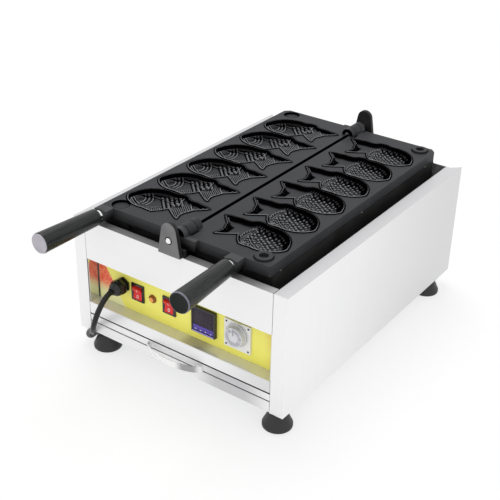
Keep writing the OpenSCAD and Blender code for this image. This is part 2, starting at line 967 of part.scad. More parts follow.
module case_screws() {
    color("silver")
        placed() {
            at_both_sides() {
                for (z = case_screw_z)
                    case_screw(case_screw_x, back_y, z, 1);
                case_screw(trough_screw_x, trough_front, trough_top - trough_screw_drop, -1);
            }
            for (s = [-1, 1]) {
                post_nut(s * post_bolt_x, front_y + sheet_t + leg_t + eps);
                post_nut(s * post_bolt_x, rear_sheet_y - leg_t - nut_t - eps);
            }
        }
}

module post_nut(x, y) {
    difference() {
        hex_y(x, post_bolt_z, nut_r, y, y + nut_t);
        rod_y(x, post_bolt_z, post_bolt_r + fit_gap, y - 1, y + nut_t + 1);
    }
}

module thermocouple() {
    probe_l = 70;
    nut_l = 4;
    color("silver")
        placed() {
            rod_y(probe_x, probe_z, probe_r, trough_front - 12, trough_front + probe_l);
            hex_y(probe_x, probe_z, nut_r, trough_front - nut_l, trough_front);
        }
}

// Electrical pieces on the service shelf
module terminal_block() {
    ways = 5;
    well_r = 3.5;
    well_depth = 5;
    color("ivory")
        placed()
            difference() {
                block(
                    [terminal_x - terminal_w / 2, terminal_y, shelf_top],
                    [terminal_x + terminal_w / 2, terminal_y + terminal_d, shelf_top + terminal_h]
                );
                for (i = [0:ways - 1])
                    rod_z(
                        terminal_x + (i - (ways - 1) / 2) * terminal_w / ways,
                        terminal_y + terminal_d / 2, well_r,
                        shelf_top + terminal_h - well_depth, shelf_top + terminal_h + 1
                    );
            }
}

module contactor() {
    body_w = 45;
    body_d = 74;
    body_h = 60;
    step = 14;
    color("lightgray")
        placed()
            translate([contactor_x, contactor_y, shelf_top])
                difference() {
                    cube([body_w, body_d, body_h]);
                    for (y = [-1, body_d - step])
                        translate([-1, y, body_h - step])
                            cube([body_w + 2, step + 1, step + 1]);
                }
}

// Wires as straight runs with round elbows
module wire(points) {
    for (i = [0:len(points) - 2])
        wire_run(points[i], points[i + 1]);
    for (i = [1:len(points) - 2])
        translate(points[i])
            sphere(r = loom_r);
}

// One straight run along X, Y or Z
module wire_run(a, b) {
    low = [min(a[0], b[0]), min(a[1], b[1]), min(a[2], b[2])];
    high = [max(a[0], b[0]), max(a[1], b[1]), max(a[2], b[2])];
    d = high - low;
    if (d[0] > 0)
        rod_x(a[1], a[2], loom_r, low[0], high[0]);
    else if (d[1] > 0)
        rod_y(a[0], a[2], loom_r, low[1], high[1]);
    else
        rod_z(a[0], a[1], loom_r, low[2], high[2]);
}

module wire_loom() {
    block_left = terminal_x + terminal_w / 2;
    block_z = shelf_top + 4;
    tail_y = cord_route[0][1];
    feed_y = terminal_y + 5;
    color("firebrick")
        placed() {
            wire([
                [block_left, terminal_y + 4, block_z], [block_left + 15, terminal_y + 4, block_z],
                [block_left + 15, loom_y, block_z], [block_left + 15, loom_y, loom_z],
                [controller_x, loom_y, loom_z], [controller_x, loom_y, row_z],
                [controller_x, device_back, row_z]
            ]);
            wire([
                [block_left, terminal_y + 10, block_z], [block_left + 11, terminal_y + 10, block_z],
                [block_left + 11, loom_y + 6, block_z], [block_left + 11, loom_y + 6, loom_z],
                [timer_x, loom_y + 6, loom_z], [timer_x, loom_y + 6, row_z],
                [timer_x, device_back, row_z]
            ]);
            wire([
                [block_left, terminal_y + 16, block_z], [block_left + 7, terminal_y + 16, block_z],
                [block_left + 7, contactor_y + 10, block_z], [contactor_x, contactor_y + 10, block_z]
            ]);
            wire([
                [-left_switch_x, switch_back, row_z], [-left_switch_x, feed_y, row_z],
                [-right_switch_x, feed_y, row_z], [-right_switch_x, switch_back, row_z]
            ]);
            wire([[-left_switch_x, feed_y, row_z], [-left_switch_x, feed_y, shelf_top + terminal_h]]);
            wire([
                [terminal_x, tail_y, gland_z], [terminal_x, terminal_y - 6, gland_z],
                [terminal_x, terminal_y - 6, block_z + 6], [terminal_x, terminal_y, block_z + 6]
            ]);
            heater_wire(1, contactor_x + 15, shelf_top + 24, terminal_y - 28);
            heater_wire(-1, contactor_x + 8, shelf_top + 17, terminal_y - 22);
        }
}

// From the contactor up past the side of a trough to the heater's outer end
module heater_wire(side, x, z, y) {
    riser_x = side * (trough_outer + 10);
    end_x = side * (heater_x + 3 * heater_pitch);
    wire_y = heater_end_y - 6;
    wire([
        [x, contactor_y, z], [x, y, z], [riser_x, y, z], [riser_x, y, heater_z],
        [riser_x, wire_y, heater_z], [end_x + side * 1.8, wire_y, heater_z]
    ]);
}

// Temperature controller
module controller_body() {
    face_w = controller_w - 2 * bezel_wall - 2 * fit_gap;
    face_y = film_y - bezel_t + face_in;
    color("dimgray")
        placed()
            difference() {
                union() {
                    square_at(controller_x, face_w / 2, face_y, recess_y);
                    square_at(controller_x, cutout_w / 2 - device_gap, film_y, device_back);
                }
                for (i = [0:3])
                    translate([key_x(i), 0, row_z - key_drop])
                        block(
                            [-key_w / 2 - key_gap, face_y - 1, -key_h / 2 - key_gap],
                            [key_w / 2 + key_gap, key_back + key_travel + key_gap, key_h / 2 + key_gap]
                        );
            }
}

function key_x(i) = controller_x + (i - 1.5) * key_step;

module controller_bezel() {
    inner = controller_w - 2 * bezel_wall;
    color("black")
        placed()
            difference() {
                square_at(controller_x, controller_w / 2, film_y - bezel_t, film_y);
                square_at(controller_x, inner / 2, film_y - bezel_t - 1, film_y + 1);
            }
}

module key(i) {
    color("mediumpurple")
        placed()
            translate([key_x(i), 0, row_z - key_drop])
                block(
                    [-key_w / 2, film_y - bezel_t + face_in - key_proud, -key_h / 2],
                    [key_w / 2, key_back, key_h / 2]
                );
}

module set_key() {
    key(0);
}

module shift_key() {
    key(1);
}

module down_key() {
    key(2);
}

module up_key() {
    key(3);
}

// Timer
module timer_body() {
    shaft_hole = 14;
    ring_r = dial_d / 2 + 2;
    color("gainsboro")
        placed()
            difference() {
                union() {
                    square_at(timer_x, timer_w / 2, film_y - timer_flange_t, film_y);
                    square_at(timer_x, cutout_w / 2 - device_gap, film_y - 1, device_back);
                    rod_y(timer_x, dial_z, ring_r, film_y - timer_flange_t - 1, film_y - 1);
                }
                rod_y(
                    timer_x, dial_z, dial_shaft_r + pin_clearance,
                    film_y - timer_flange_t - 2, film_y - timer_flange_t + shaft_hole
                );
            }
}

module timer_dial() {
    back = film_y - timer_flange_t - 1 - slide_gap;
    cap_r = 9;
    skirt_r = dial_d / 2;
    skirt_t = 2;
    rim_in = 3;
    rim_t = 2;
    dish = 4;
    slot_half = 1;
    color("silver")
        placed() {
            difference() {
                translate([timer_x, back, dial_z])
                    rotate([90, 0, 0])
                        rotate_extrude()
                            polygon([
                                [0, 0], [skirt_r, 0], [skirt_r, skirt_t], [skirt_r - rim_in, dial_t],
                                [skirt_r - rim_in - rim_t, dial_t],
                                [skirt_r - rim_in - 2 * rim_t, dial_t - dish], [0, dial_t - dish]
                            ]);
                block(
                    [timer_x - slot_half, back - dial_t - 1, dial_z + cap_r + rim_in],
                    [timer_x + slot_half, back - 1, dial_z + dial_d]
                );
            }
            rod_y(timer_x, dial_z, cap_r, back - dial_t, back - dial_t + 5);
            rod_y(timer_x, dial_z, dial_shaft_r, back - 1, back + 12);
        }
}

// Rocker switches
module switch_frame(x) {
    wall = frame_lap + device_gap / 2;
    lip = 2.5;
    well = 3;
    color("black")
        placed()
            translate([-x, 0, row_z])
                difference() {
                    union() {
                        block(
                            [-switch_w / 2, film_y - lip, -switch_h / 2],
                            [switch_w / 2, film_y, switch_h / 2]
                        );
                        block(
                            [-switch_w / 2 + wall, film_y - 1, -switch_h / 2 + wall],
                            [switch_w / 2 - wall, switch_back, switch_h / 2 - wall]
                        );
                    }
                    block(
                        [-rocker_w / 2 - key_gap, film_y - lip - 1, -switch_h / 2 + well],
                        [rocker_w / 2 + key_gap, recess_y + rocker_pivot + 8, switch_h / 2 - well]
                    );
                    rod_x(
                        recess_y + rocker_pivot, 0, trunnion_r + pin_clearance,
                        -rocker_w / 2 - trunnion_l - slide_gap, rocker_w / 2 + trunnion_l + slide_gap
                    );
                }
}

// Rocker at rest with its lower half pressed in
module rocker(x) {
    half = switch_h / 2 - 4.6;
    face = rocker_pivot + 2;
    end = rocker_pivot + 5.3;
    neck = 3;
    back = 4.5;
    back_half = 7;
    lip = 0.8;
    color("red")
        placed()
            translate([-x, recess_y + rocker_pivot, row_z])
                rotate([rocker_tilt, 0, 0]) {
                    rotate([90, 0, 90])
                        translate([0, 0, -rocker_w / 2])
                            linear_extrude(rocker_w)
                                polygon([
                                    [-face, 0], [-end, -half], [-neck, -half - lip],
                                    [back, -back_half], [back, back_half],
                                    [-neck, half + lip], [-end, half]
                                ]);
                    rod_x(0, 0, trunnion_r, -rocker_w / 2 - trunnion_l, rocker_w / 2 + trunnion_l);
                }
}

module left_switch_frame() {
    switch_frame(left_switch_x);
}

module left_rocker() {
    rocker(left_switch_x);
}

module right_switch_frame() {
    switch_frame(right_switch_x);
}

module right_rocker() {
    rocker(right_switch_x);
}

// Signal lamp
module lamp_body() {
    lens_r = lamp_d / 2 - frame_lap;
    color("dimgray")
        placed() {
            difference() {
                rod_y(-lamp_x, row_z, lamp_d / 2, film_y - 2, film_y);
                rod_y(-lamp_x, row_z, lens_r, film_y - 3, film_y - 1);
            }
            rod_y(-lamp_x, row_z, lens_r - screw_gap, film_y - eps, recess_y + 22);
        }
}

module lamp_lens() {
    lens_r = lamp_d / 2 - frame_lap - fit_gap;
    color("orange")
        placed()
            translate([-lamp_x, film_y - 1, row_z])
                rotate([90, 0, 0])
                    rotate_extrude()
                        polygon([[0, 0], [lens_r, 0], [lens_r, 2], [lens_r - 2, 4.4], [0, 5.2]]);
}

// Cable gland
module gland_body() {
    collar_r = 10.5;
    color("black")
        placed()
            difference() {
                union() {
                    hex_y(-gland_x, gland_z, gland_hex_d / 2 - 1, film_y - 4, film_y);
                    rod_y(-gland_x, gland_z, gland_thread_r, film_y - 1, recess_y + 14);
                    rod_y(-gland_x, gland_z, collar_r, film_y - 8, film_y - 3);
                }
                rod_y(-gland_x, gland_z, cord_bore_r, film_y - 9, recess_y + 15);
            }
}

module gland_nut() {
    back = film_y - 8 - fit_gap;
    hex_l = 10;
    length = back - hex_l - gland_end;
    dome = [[12.6, 0], [11.4, 5], [8.4, 10]];
    dome_end = 7;
    color("black")
        placed()
            difference() {
                union() {
                    hex_y(-gland_x, gland_z, gland_hex_d / 2, back - hex_l, back);
                    translate([-gland_x, back - hex_l + eps, gland_z])
                        rotate([90, 0, 0])
                            rotate_extrude()
                                polygon(concat([[0, 0]], dome, [[dome_end, length], [0, length]]));
                }
                rod_y(-gland_x, gland_z, cord_bore_r, gland_end - 1, back + 1);
            }
}

module gland_locknut() {
    color("black")
        placed()
            difference() {
                hex_y(-gland_x, gland_z, gland_hex_d / 2 - 1, recess_y + sheet_t, recess_y + sheet_t + 4.5);
                rod_y(
                    -gland_x, gland_z, gland_thread_r + fit_gap,
                    recess_y + sheet_t - 1, recess_y + sheet_t + 6
                );
            }
}

// Mains lead and its plug
module power_cord() {
    color("black")
        placed()
            tube(cord_route, cord_d / 2, cord_sides, [1, 0, 0]);
}

module cord_coil() {
    color("black")
        placed()
            tube(coil_path, cord_d / 2, coil_sides, [1, 0, 0]);
}

module plug_body() {
    sleeve = [[plug_neck_r - 2, 0], [plug_neck_r, 14], [plug_r - 1, 24], [plug_r, 27]];
    edge = 2;
    color("black")
        placed()
            translate(plug_start)
                rotate([0, 90, 0])
                    rotate_extrude()
                        polygon(concat(
                            [[0, 0]], sleeve,
                            [[plug_r, plug_l - edge], [plug_r - edge, plug_l], [0, plug_l]]
                        ));
}

module plug_pins() {
    tip = [1.2, 1.5];
    color("gold")
        placed()
            for (s = [-1, 1])
                translate(plug_start + [plug_l, s * plug_pin_gap / 2, 0])
                    rotate([0, 90, 0])
                        rotate_extrude()
                            polygon([
                                [0, 0], [plug_pin_r, 0], [plug_pin_r, plug_pin_l - tip[1]],
                                [plug_pin_r - tip[0], plug_pin_l], [0, plug_pin_l]
                            ]);
}

// Drawer
module drawer_runners() {
    web_x = tray_w / 2 + slide_gap;
    z0 = bottom_z + sheet_t;
    y0 = tray_front + runner_in;
    y1 = tray_front + runner_l;
    color("silver")
        placed()
            at_both_sides() {
                block([web_x - runner_foot, y0, z0], [web_x + tray_t, y1, z0 + sheet_t]);
                block([web_x, y0, z0], [web_x + tray_t, y1, z0 + runner_h]);
            }
}

module drawer_tray() {
    color("silver")
        placed()
            difference() {
                wide_block(tray_w / 2, tray_front, tray_back, tray_bottom, tray_bottom + tray_h);
                wide_block(
                    tray_w / 2 - tray_t, tray_front + tray_t, tray_back - tray_t,
                    tray_bottom + tray_t, tray_bottom + tray_h + 1
                );
            }
}

module drawer_front() {
    groove = 0.7 * sheet_t;
    color("whitesmoke")
        placed()
            difference() {
                union() {
                    wide_block(panel_x, front_y, front_y + sheet_t, drawer_bottom, crease_z);
                    wide_block(
                        panel_x, front_y + front_step, front_y + sheet_t,
                        crease_z, drawer_bottom + drawer_h
                    );
                    wide_block(
                        panel_x, front_y + front_step, tray_front,
                        drawer_bottom + drawer_h - sheet_t, drawer_bottom + drawer_h
                    );
                    wide_block(tray_w / 2, front_y, tray_front, tray_bottom, tray_bottom + sheet_t);
                }
                wide_block(panel_x + 1, front_y - 1, front_y + groove, crease_z, crease_z + crease_w);
                at_both_sides() {
                    block(
                        [pull_w / 2 - pull_t - screw_gap, front_y - 1, pull_z - screw_gap],
                        [pull_w / 2 + screw_gap, front_y + sheet_t + 1, pull_z + pull_h + screw_gap]
                    );
                    rod_y(
                        pull_w / 2 - pull_tab / 2 - pull_t, pull_z + pull_h / 2, rivet_r + fit_gap / 2,
                        front_y - 1, front_y + sheet_t + 1
                    );
                }
            }
}

// Outline of the pull's bow seen from above, from its left end to its right end
function pull_curve(half, reach, n = 12) = [
    for (i = [0:n])
        let (a = 180 * i / n)
        [-half * cos(a) * (0.55 + 0.45 * abs(cos(a))), -reach * sin(a)]
];

module drawer_pull() {
    half = pull_w / 2;
    bow_y = front_y - 1;
    inside = front_y + sheet_t + fit_gap;
    color("lightgray")
        placed()
            union() {
                translate([0, bow_y, pull_z])
                    linear_extrude(pull_h)
                        difference() {
                            polygon(pull_curve(half, pull_reach));
                            polygon(concat(
                                pull_curve(half - pull_t, pull_reach - pull_t),
                                [[half - pull_t, 1], [pull_t - half, 1]]
                            ));
                        }
                at_both_sides() {
                    block([half - pull_t, bow_y - eps, pull_z], [half, inside + pull_t, pull_z + pull_h]);
                    difference() {
                        block(
                            [half - pull_t - pull_tab, inside, pull_z],
                            [half, inside + pull_t, pull_z + pull_h]
                        );
                        rod_y(
                            half - pull_tab / 2 - pull_t, pull_z + pull_h / 2, rivet_r + fit_gap / 2,
                            inside - 1, inside + pull_t + 1
                        );
                    }
                }
            }
}

module pull_rivets() {
    x = pull_w / 2 - pull_tab / 2 - pull_t;
    inner = front_y + sheet_t + fit_gap + pull_t;
    head_r = rivet_r + 1.5;
    head_t = 1.2;
    color("silver")
        placed()
            at_both_sides() {
                rod_y(x, pull_z + pull_h / 2, rivet_r, front_y + front_step, inner + eps);
                rod_y(x, pull_z + pull_h / 2, head_r, inner, inner + head_t);
            }
}

// Hinges
// A post for the front: its leg stands behind the sheet whose inner face is at leg_y
module hinge_post(leg_y) {
    plate_y = front_y - post_proud;
    shoulder_in = 4;
    shoulder_h = 12;
    countersink = 1.5;
    color("gray")
        placed()
            difference() {
                union() {
                    translate([0, plate_y + post_t, 0])
                        rotate([90, 0, 0])
                            linear_extrude(post_t)
                                post_outline();
                    wide_block(post_w / 2, leg_y, leg_y + leg_t, top_z - post_leg, top_z + shoulder_h);
                    wide_block(
                        post_w / 2 - shoulder_in, plate_y + 1, leg_y + leg_t,
                        top_z + post_lift, top_z + shoulder_h
                    );
                }
                rod_y(0, axis_z, pin_d / 2 + fit_gap / 2, plate_y - 1, plate_y + post_t + 1);
                rod_y(0, axis_z, pin_d / 2 + countersink, plate_y - 1, plate_y + countersink);
                for (s = [-1, 1])
                    rod_y(
                        s * post_bolt_x, post_bolt_z, post_bolt_r + screw_gap,
                        leg_y - 1, leg_y + leg_t + 1
                    );
            }
}

// Tapered plate with a round head: its flanks are tangent to the head
module post_outline() {
    head_r = post_head_d / 2;
    head_z = axis_z + post_above_axis - head_r;
    foot_z = top_z + post_lift;
    rise = head_z - foot_z;
    a = 180 - atan2(post_w / 2, rise) - acos(head_r / norm([post_w / 2, rise]));
    side = [head_r * sin(a), head_z + head_r * cos(a)];
    translate([0, head_z])
        circle(r = head_r);
    polygon([[-post_w / 2, foot_z], [post_w / 2, foot_z], side, [-side[0], side[1]]]);
}

// Turns a front piece round to the back
module at_back() {
    translate([0, 2 * y_shift, 0])
        mirror([0, 1, 0])
            children();
}

module front_hinge_post() {
    hinge_post(front_y + sheet_t);
}

module rear_hinge_post() {
    at_back()
        hinge_post(-rear_sheet_y);
}

module hinge_pin() {
    r = pin_d / 2;
    out = front_y - post_proud - pin_end;
    chamfer = 1;
    placed() {
        rod_y(0, axis_z, r, out + chamfer, knuckle_end);
        translate([0, out + chamfer, axis_z])
            rotate([90, 0, 0])
                cylinder(r1 = r, r2 = r - chamfer, h = chamfer);
    }
}

module hinge_pins() {
    color("silver") {
        hinge_pin();
        at_back()
            hinge_pin();
    }
}

// One knuckle with the web that joins it to the plate on the right
module knuckle(y0, y1) {
    a = y0 + knuckle_gap / 2;
    b = y1 - knuckle_gap / 2;
    rod_y(0, axis_z, knuckle_r, a, b);
    block([0, a, axis_z - knuckle_r], [web_x, b, plate_top]);
}

// The casting both plates share, as the right plate; turned swaps its front and rear hinges
module plate_blank(turned) {
    difference() {
        union() {
            translate([0, 0, plate_bottom])
                linear_extrude(plate_t)
                    polygon([
                        [hinge_gap, plate_front], [plate_reach - edge_round, plate_front],
                        [plate_reach, plate_front + edge_round], [plate_reach, plate_back - corner_chamfer],
                        [plate_reach - corner_chamfer, plate_back], [hinge_gap, plate_back]
                    ]);
            turned_if(turned)
                hinge_lugs();
        }
        turned_if(turned)
            hinge_pockets();
        for (y = [front_y, -knuckle_end])
            rod_y(0, axis_z, pin_d / 2 + pin_clearance, y, y + knuckle_end - front_y);
    }
}

module turned_if(turned) {
    if (turned)
        mirror([0, 1, 0])
            children();
    else
        children();
}

// Outer knuckles in front and the middle knuckle behind, with the lug that carries the first one
module hinge_lugs() {
    block([hinge_gap, plate_front - lug_l, plate_bottom], [lug_x, plate_front + edge_round, plate_top]);
    knuckle(knuckle_1, knuckle_2);
    knuckle(knuckle_3, knuckle_end);
    knuckle(-knuckle_3, -knuckle_2);
}

module hinge_pockets() {
    pocket(knuckle_2, knuckle_3);
    pocket(-knuckle_end, -knuckle_3);
    pocket(-knuckle_2, -knuckle_1 + pocket_gap);
}

// Room for a knuckle of the other plate
module pocket(y0, y1) {
    block(
        [-knuckle_r, y0 - knuckle_gap / 2 + eps, plate_bottom - 1],
        [pocket_x, y1 + knuckle_gap / 2 - eps, axis_z + knuckle_r + 1]
    );
}

module fish_cut() {
    translate([0, 0, plate_top - edge_depth])
        linear_extrude(edge_depth + 1)
            polygon(fish_outline);
    translate([0, 0, plate_top - body_depth])
        linear_extrude(body_depth)
            polygon(grown(body_outline, -body_inset));
    translate([0, 0, plate_top - belly_depth])
        linear_extrude(belly_depth)
            polygon(grown(body_outline, -belly_inset));
}

module fish_rim() {
    translate([0, 0, plate_top - eps])
        linear_extrude(rim_h + eps)
            difference() {
                polygon(grown(fish_outline, rim_w));
                polygon(fish_outline);
            }
}

module at_each_fish() {
    for (i = [0:fish_count - 1])
        translate([0, (i - (fish_count - 1) / 2) * fish_pitch, 0])
            children();
}

// Block at the plate's front edge that a handle's stud is set in
module handle_boss(x) {
    block(
        [x - boss_w / 2, boss_front, plate_bottom],
        [x + boss_w / 2, plate_front + edge_round, plate_top]
    );
    along_handle(x)
        rod_y(0, 0, collar_d / 2 + boss_ring, -boss_ring, 1);
}

// Places a handle piece: its own -Y runs out along the grip
module along_handle(x) {
    translate([x, boss_front, handle_z])
        rotate([0, 0, splay])
            children();
}

module stud_bore(x) {
    along_handle(x)
        rod_y(0, 0, stud_d / 2 + fit_gap, -boss_ring - 1, stud_depth + 1);
}

module right_plate() {
    color("dimgray")
        placed()
            difference() {
                union() {
                    difference() {
                        union() {
                            plate_blank(false);
                            handle_boss(right_handle_x);
                        }
                        at_each_fish()
                            fish_cut();
                        stud_bore(right_handle_x);
                    }
                    at_each_fish()
                        fish_rim();
                    for (y = ring_y)
                        rod_z(ring_x, y, ring_d / 2, plate_top - eps, plate_top + ring_h);
                }
                for (y = ring_y)
                    rod_z(ring_x, y, ring_hole_d / 2, plate_top - 3, plate_top + ring_h + 1);
            }
}

module left_plate() {
    recess_depth_below = ring_h + 1;
    color("dimgray")
        placed()
            mirror([1, 0, 0])
                difference() {
                    union() {
                        difference() {
                            union() {
                                plate_blank(true);
                                handle_boss(left_handle_x);
                            }
                            at_each_fish()
                                fish_cut();
                            stud_bore(left_handle_x);
                        }
                        at_each_fish()
                            fish_rim();
                    }
                    for (y = ring_y)
                        rod_z(
                            ring_x, y, ring_d / 2 + ring_clearance,
                            plate_top - recess_depth_below, plate_top + 2
                        );
                }
}

// Handles
module handle_stud(x) {
    color("silver")
        placed()
            along_handle(x) {
                rod_y(0, 0, stud_d / 2, -collar_l - grip_bore_l, stud_depth);
                rod_y(0, 0, collar_d / 2, -collar_l + fit_gap, -boss_ring - fit_gap);
            }
}

module grip(x) {
    near = grip_near_d / 2;
    far = grip_far_d / 2;
    body_l = grip_l - cap_t;
    color("black")
        placed()
            along_handle(x)
                difference() {
                    translate([0, -collar_l, 0])
                        rotate([90, 0, 0])
                            rotate_extrude()
                                polygon([
                                    [0, 0], [near - grip_round, 0], [near, grip_round],
                                    [far, body_l - 1], [far - 1, body_l], [0, body_l]
                                ]);
                    rod_y(0, 0, stud_d / 2 + fit_gap, -collar_l - grip_bore_l - 1, 1 - collar_l);
                }
}

module grip_cap(x, shade) {
    cap_r = grip_far_d / 2 - 1;
    start = collar_l + grip_l - cap_t;
    color(shade)
        placed()
            along_handle(x)
                translate([0, -start, 0])
                    rotate([90, 0, 0])
                        rotate_extrude()
                            polygon([[0, 0], [cap_r, 0], [cap_r, cap_t - 1], [cap_r - 1, cap_t], [0, cap_t]]);
}

module left_handle_stud() {
    mirror([1, 0, 0])
        handle_stud(left_handle_x);
}

module right_handle_stud() {
    handle_stud(right_handle_x);
}

module left_grip() {
    mirror([1, 0, 0])
        grip(left_handle_x);
}

module right_grip() {
    grip(right_handle_x);
}

module left_grip_cap() {
    mirror([1, 0, 0])
        grip_cap(left_handle_x, "thistle");
}

module right_grip_cap() {
    grip_cap(right_handle_x, "black");
}

base_pan();
left_side_panel();
right_side_panel();
rear_panel();
upper_front_panel();
control_panel();
control_overlay();
service_shelf();
trough_rails();
left_trough();
right_trough();
left_heater();
right_heater();
heater_clips();
plate_rest_bolts();
case_screws();
thermocouple();
terminal_block();
contactor();
wire_loom();
controller_body();
controller_bezel();
set_key();
shift_key();
down_key();
up_key();
timer_body();
timer_dial();
left_switch_frame();
left_rocker();
right_switch_frame();
right_rocker();
lamp_body();
lamp_lens();
gland_body();
gland_nut();
gland_locknut();
power_cord();
cord_coil();
plug_body();
plug_pins();
rubber_feet();
foot_screws();
drawer_runners();
drawer_tray();
drawer_front();
drawer_pull();
pull_rivets();
front_hinge_post();
rear_hinge_post();
hinge_pins();
left_plate();
right_plate();
left_handle_stud();
right_handle_stud();
left_grip();
right_grip();
left_grip_cap();
right_grip_cap();
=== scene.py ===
import json
import math

import bmesh
import bpy
import numpy as np
from bpy.props import FloatProperty, FloatVectorProperty, IntProperty, PointerProperty
from mathutils import Matrix, Vector

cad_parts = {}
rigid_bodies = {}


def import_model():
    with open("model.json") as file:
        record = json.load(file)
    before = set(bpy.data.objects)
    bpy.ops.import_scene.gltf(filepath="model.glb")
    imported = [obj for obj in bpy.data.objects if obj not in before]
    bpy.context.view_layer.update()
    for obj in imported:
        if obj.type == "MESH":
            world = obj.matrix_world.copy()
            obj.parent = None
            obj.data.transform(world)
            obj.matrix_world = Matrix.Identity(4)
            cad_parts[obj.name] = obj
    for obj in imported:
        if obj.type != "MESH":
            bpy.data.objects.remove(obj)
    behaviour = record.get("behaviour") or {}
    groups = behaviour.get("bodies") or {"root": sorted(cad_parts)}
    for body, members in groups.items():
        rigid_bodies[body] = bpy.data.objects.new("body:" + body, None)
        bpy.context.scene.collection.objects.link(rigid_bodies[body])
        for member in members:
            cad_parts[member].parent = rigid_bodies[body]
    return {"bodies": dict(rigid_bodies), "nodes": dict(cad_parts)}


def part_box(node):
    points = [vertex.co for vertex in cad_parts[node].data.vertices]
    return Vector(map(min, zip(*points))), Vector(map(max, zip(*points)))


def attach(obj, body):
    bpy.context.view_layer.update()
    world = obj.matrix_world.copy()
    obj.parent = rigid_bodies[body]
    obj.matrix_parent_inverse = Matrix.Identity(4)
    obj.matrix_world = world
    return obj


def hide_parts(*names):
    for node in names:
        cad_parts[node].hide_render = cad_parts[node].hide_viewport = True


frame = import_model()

bl_info = {
    "name": "Fish waffle maker looks",
    "version": (1, 0, 0),
    "blender": (4, 5, 0),
    "location": "View3D > Sidebar > Waffle Maker",
    "description": "Builds the visible pieces of a fish waffle maker round its packed frame",
    "category": "Object",
}

# Every size below is in millimetres from the casing's middle, which is midway between the hinge pins
PIN_LOW, PIN_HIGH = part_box("hinge_pins")
MIDDLE_Y = (PIN_LOW.y + PIN_HIGH.y) / 2
MM = 0.001
PLACE = Matrix.Translation((0, MIDDLE_Y, 0)) @ Matrix.Scale(MM, 4)
HALF_DEPTH = 292.0

# Face of the yellow film, the height of the row of controls, and the places along it
FILM_Y = -268.3
ROW_Z = 130.0
GLAND_X, GLAND_Z = -129.0, 135.0
ROCKER_X = {"left": -97.0, "right": -29.0}
LAMP_X = -65.0
CONTROLLER_X = 44.5
TIMER_X = 111.5

# Top of the plates, their hinge line, the locating rings and the row of fish
PLATE_TOP = 274.75
AXIS_Z = 276.0
RING_X, RING_Y, RING_R = 143.0, 253.0, 14.25
PLATES_MIDDLE_Y = 2.0
FISH_PITCH = 80.0
FISH_COUNT = 6

# Turns a shape's own Z axis to the front
NOD = Matrix.Rotation(math.radians(90), 4, "X")


# Settings that a user can change
class CastingSettings(bpy.types.PropertyGroup):
    """Sizes of the carved fish in the baking plates"""

    rim_height: FloatProperty(
        name="Rim height", description="Height of the bead round each fish (mm)",
        default=1.23, min=1.21, max=1.24,
    )
    scale_size: FloatProperty(
        name="Scale size", description="Spacing of the scales on the right-hand fish (mm)",
        default=9.4, min=4.0, max=12.0,
    )
    carving: FloatProperty(
        name="Carving depth", description="Height of scales, ribs and stripes, as a share of the drawn one",
        default=1.25, min=0.2, max=2.5,
    )
    grid_step: FloatProperty(
        name="Grid step", description="Spacing of the carved surface's points (mm)",
        default=0.85, min=0.6, max=3.0,
    )
    colour: FloatVectorProperty(
        name="Coating", description="Colour of the non-stick coating", subtype="COLOR", size=3,
        default=(0.036, 0.037, 0.040), min=0.0, max=1.0,
    )


class SheetSettings(bpy.types.PropertyGroup):
    """Finish of the stainless casing and of the printed film"""

    steel: FloatVectorProperty(
        name="Steel", description="Colour of the brushed casing", subtype="COLOR", size=3,
        default=(0.90, 0.90, 0.905), min=0.0, max=1.0,
    )
    film: FloatVectorProperty(
        name="Film", description="Yellow of the printed film", subtype="COLOR", size=3,
        default=(1.0, 0.94, 0.17), min=0.0, max=1.0,
    )


class LeadSettings(bpy.types.PropertyGroup):
    """The mains lead"""

    diameter: FloatProperty(
        name="Diameter", description="Diameter of the mains lead (mm)", default=9.6, min=6.0, max=10.0,
    )
    turns_in: FloatProperty(
        name="Lower turns", description="Turns of the coil's lower layer", default=1.5, min=1.5, max=1.5,
    )
    turns_out: FloatProperty(
        name="Upper turns", description="Turns of the coil's upper layer", default=1.75, min=1.75, max=1.75,
    )
    sides: IntProperty(
        name="Roundness", description="Curve steps of the lead's round section", default=5, min=3, max=12,
    )


class StageSettings(bpy.types.PropertyGroup):
    """Camera, lamps and floor"""

    lens: FloatProperty(
        name="Lens", description="Focal length of the camera (mm)", default=70.78, min=20.0, max=200.0,
    )
    sky: FloatProperty(
        name="Sky light", description="Strength of the even light from all round", default=0.90, min=0.0, max=2.0,
    )
    key: FloatProperty(
        name="Key lamp", description="Strength of the soft main lamp", default=0.85, min=0.0, max=6.0,
    )


def settings():
    """The scene, which holds the groups of settings."""
    return bpy.context.scene


# Mesh helpers, in casing millimetres
def at(x, y, z):
    """A place in casing millimetres."""
    return Matrix.Translation((x, y, z))


def finish_mesh(bm, smooth_angle=35.0):
    """Makes a mesh from a bmesh in casing millimetres, put where the frame is."""
    bmesh.ops.remove_doubles(bm, verts=bm.verts, dist=0.0005)
    bmesh.ops.recalc_face_normals(bm, faces=bm.faces)
    bmesh.ops.transform(bm, matrix=PLACE, verts=bm.verts)
    mesh = bpy.data.meshes.new("made")
    bm.to_mesh(mesh)
    bm.free()
    mesh.shade_smooth()
    mesh.set_sharp_from_angle(angle=math.radians(smooth_angle))
    return mesh


def new_object(name, data):
    """A new object in the scene, at the origin."""
    made = bpy.data.objects.new(name, data)
    bpy.context.scene.collection.objects.link(made)
    return made


def add_piece(name, bm, finish, body, replaces=(), smooth_angle=35.0):
    """Adds a finished piece to the scene, on the body that it moves with."""
    mesh = finish_mesh(bm, smooth_angle)
    mesh.name = name
    obj = new_object(name, mesh)
    mesh.materials.append(finish)
    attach(obj, body)
    if replaces:
        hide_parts(*replaces)
    return obj


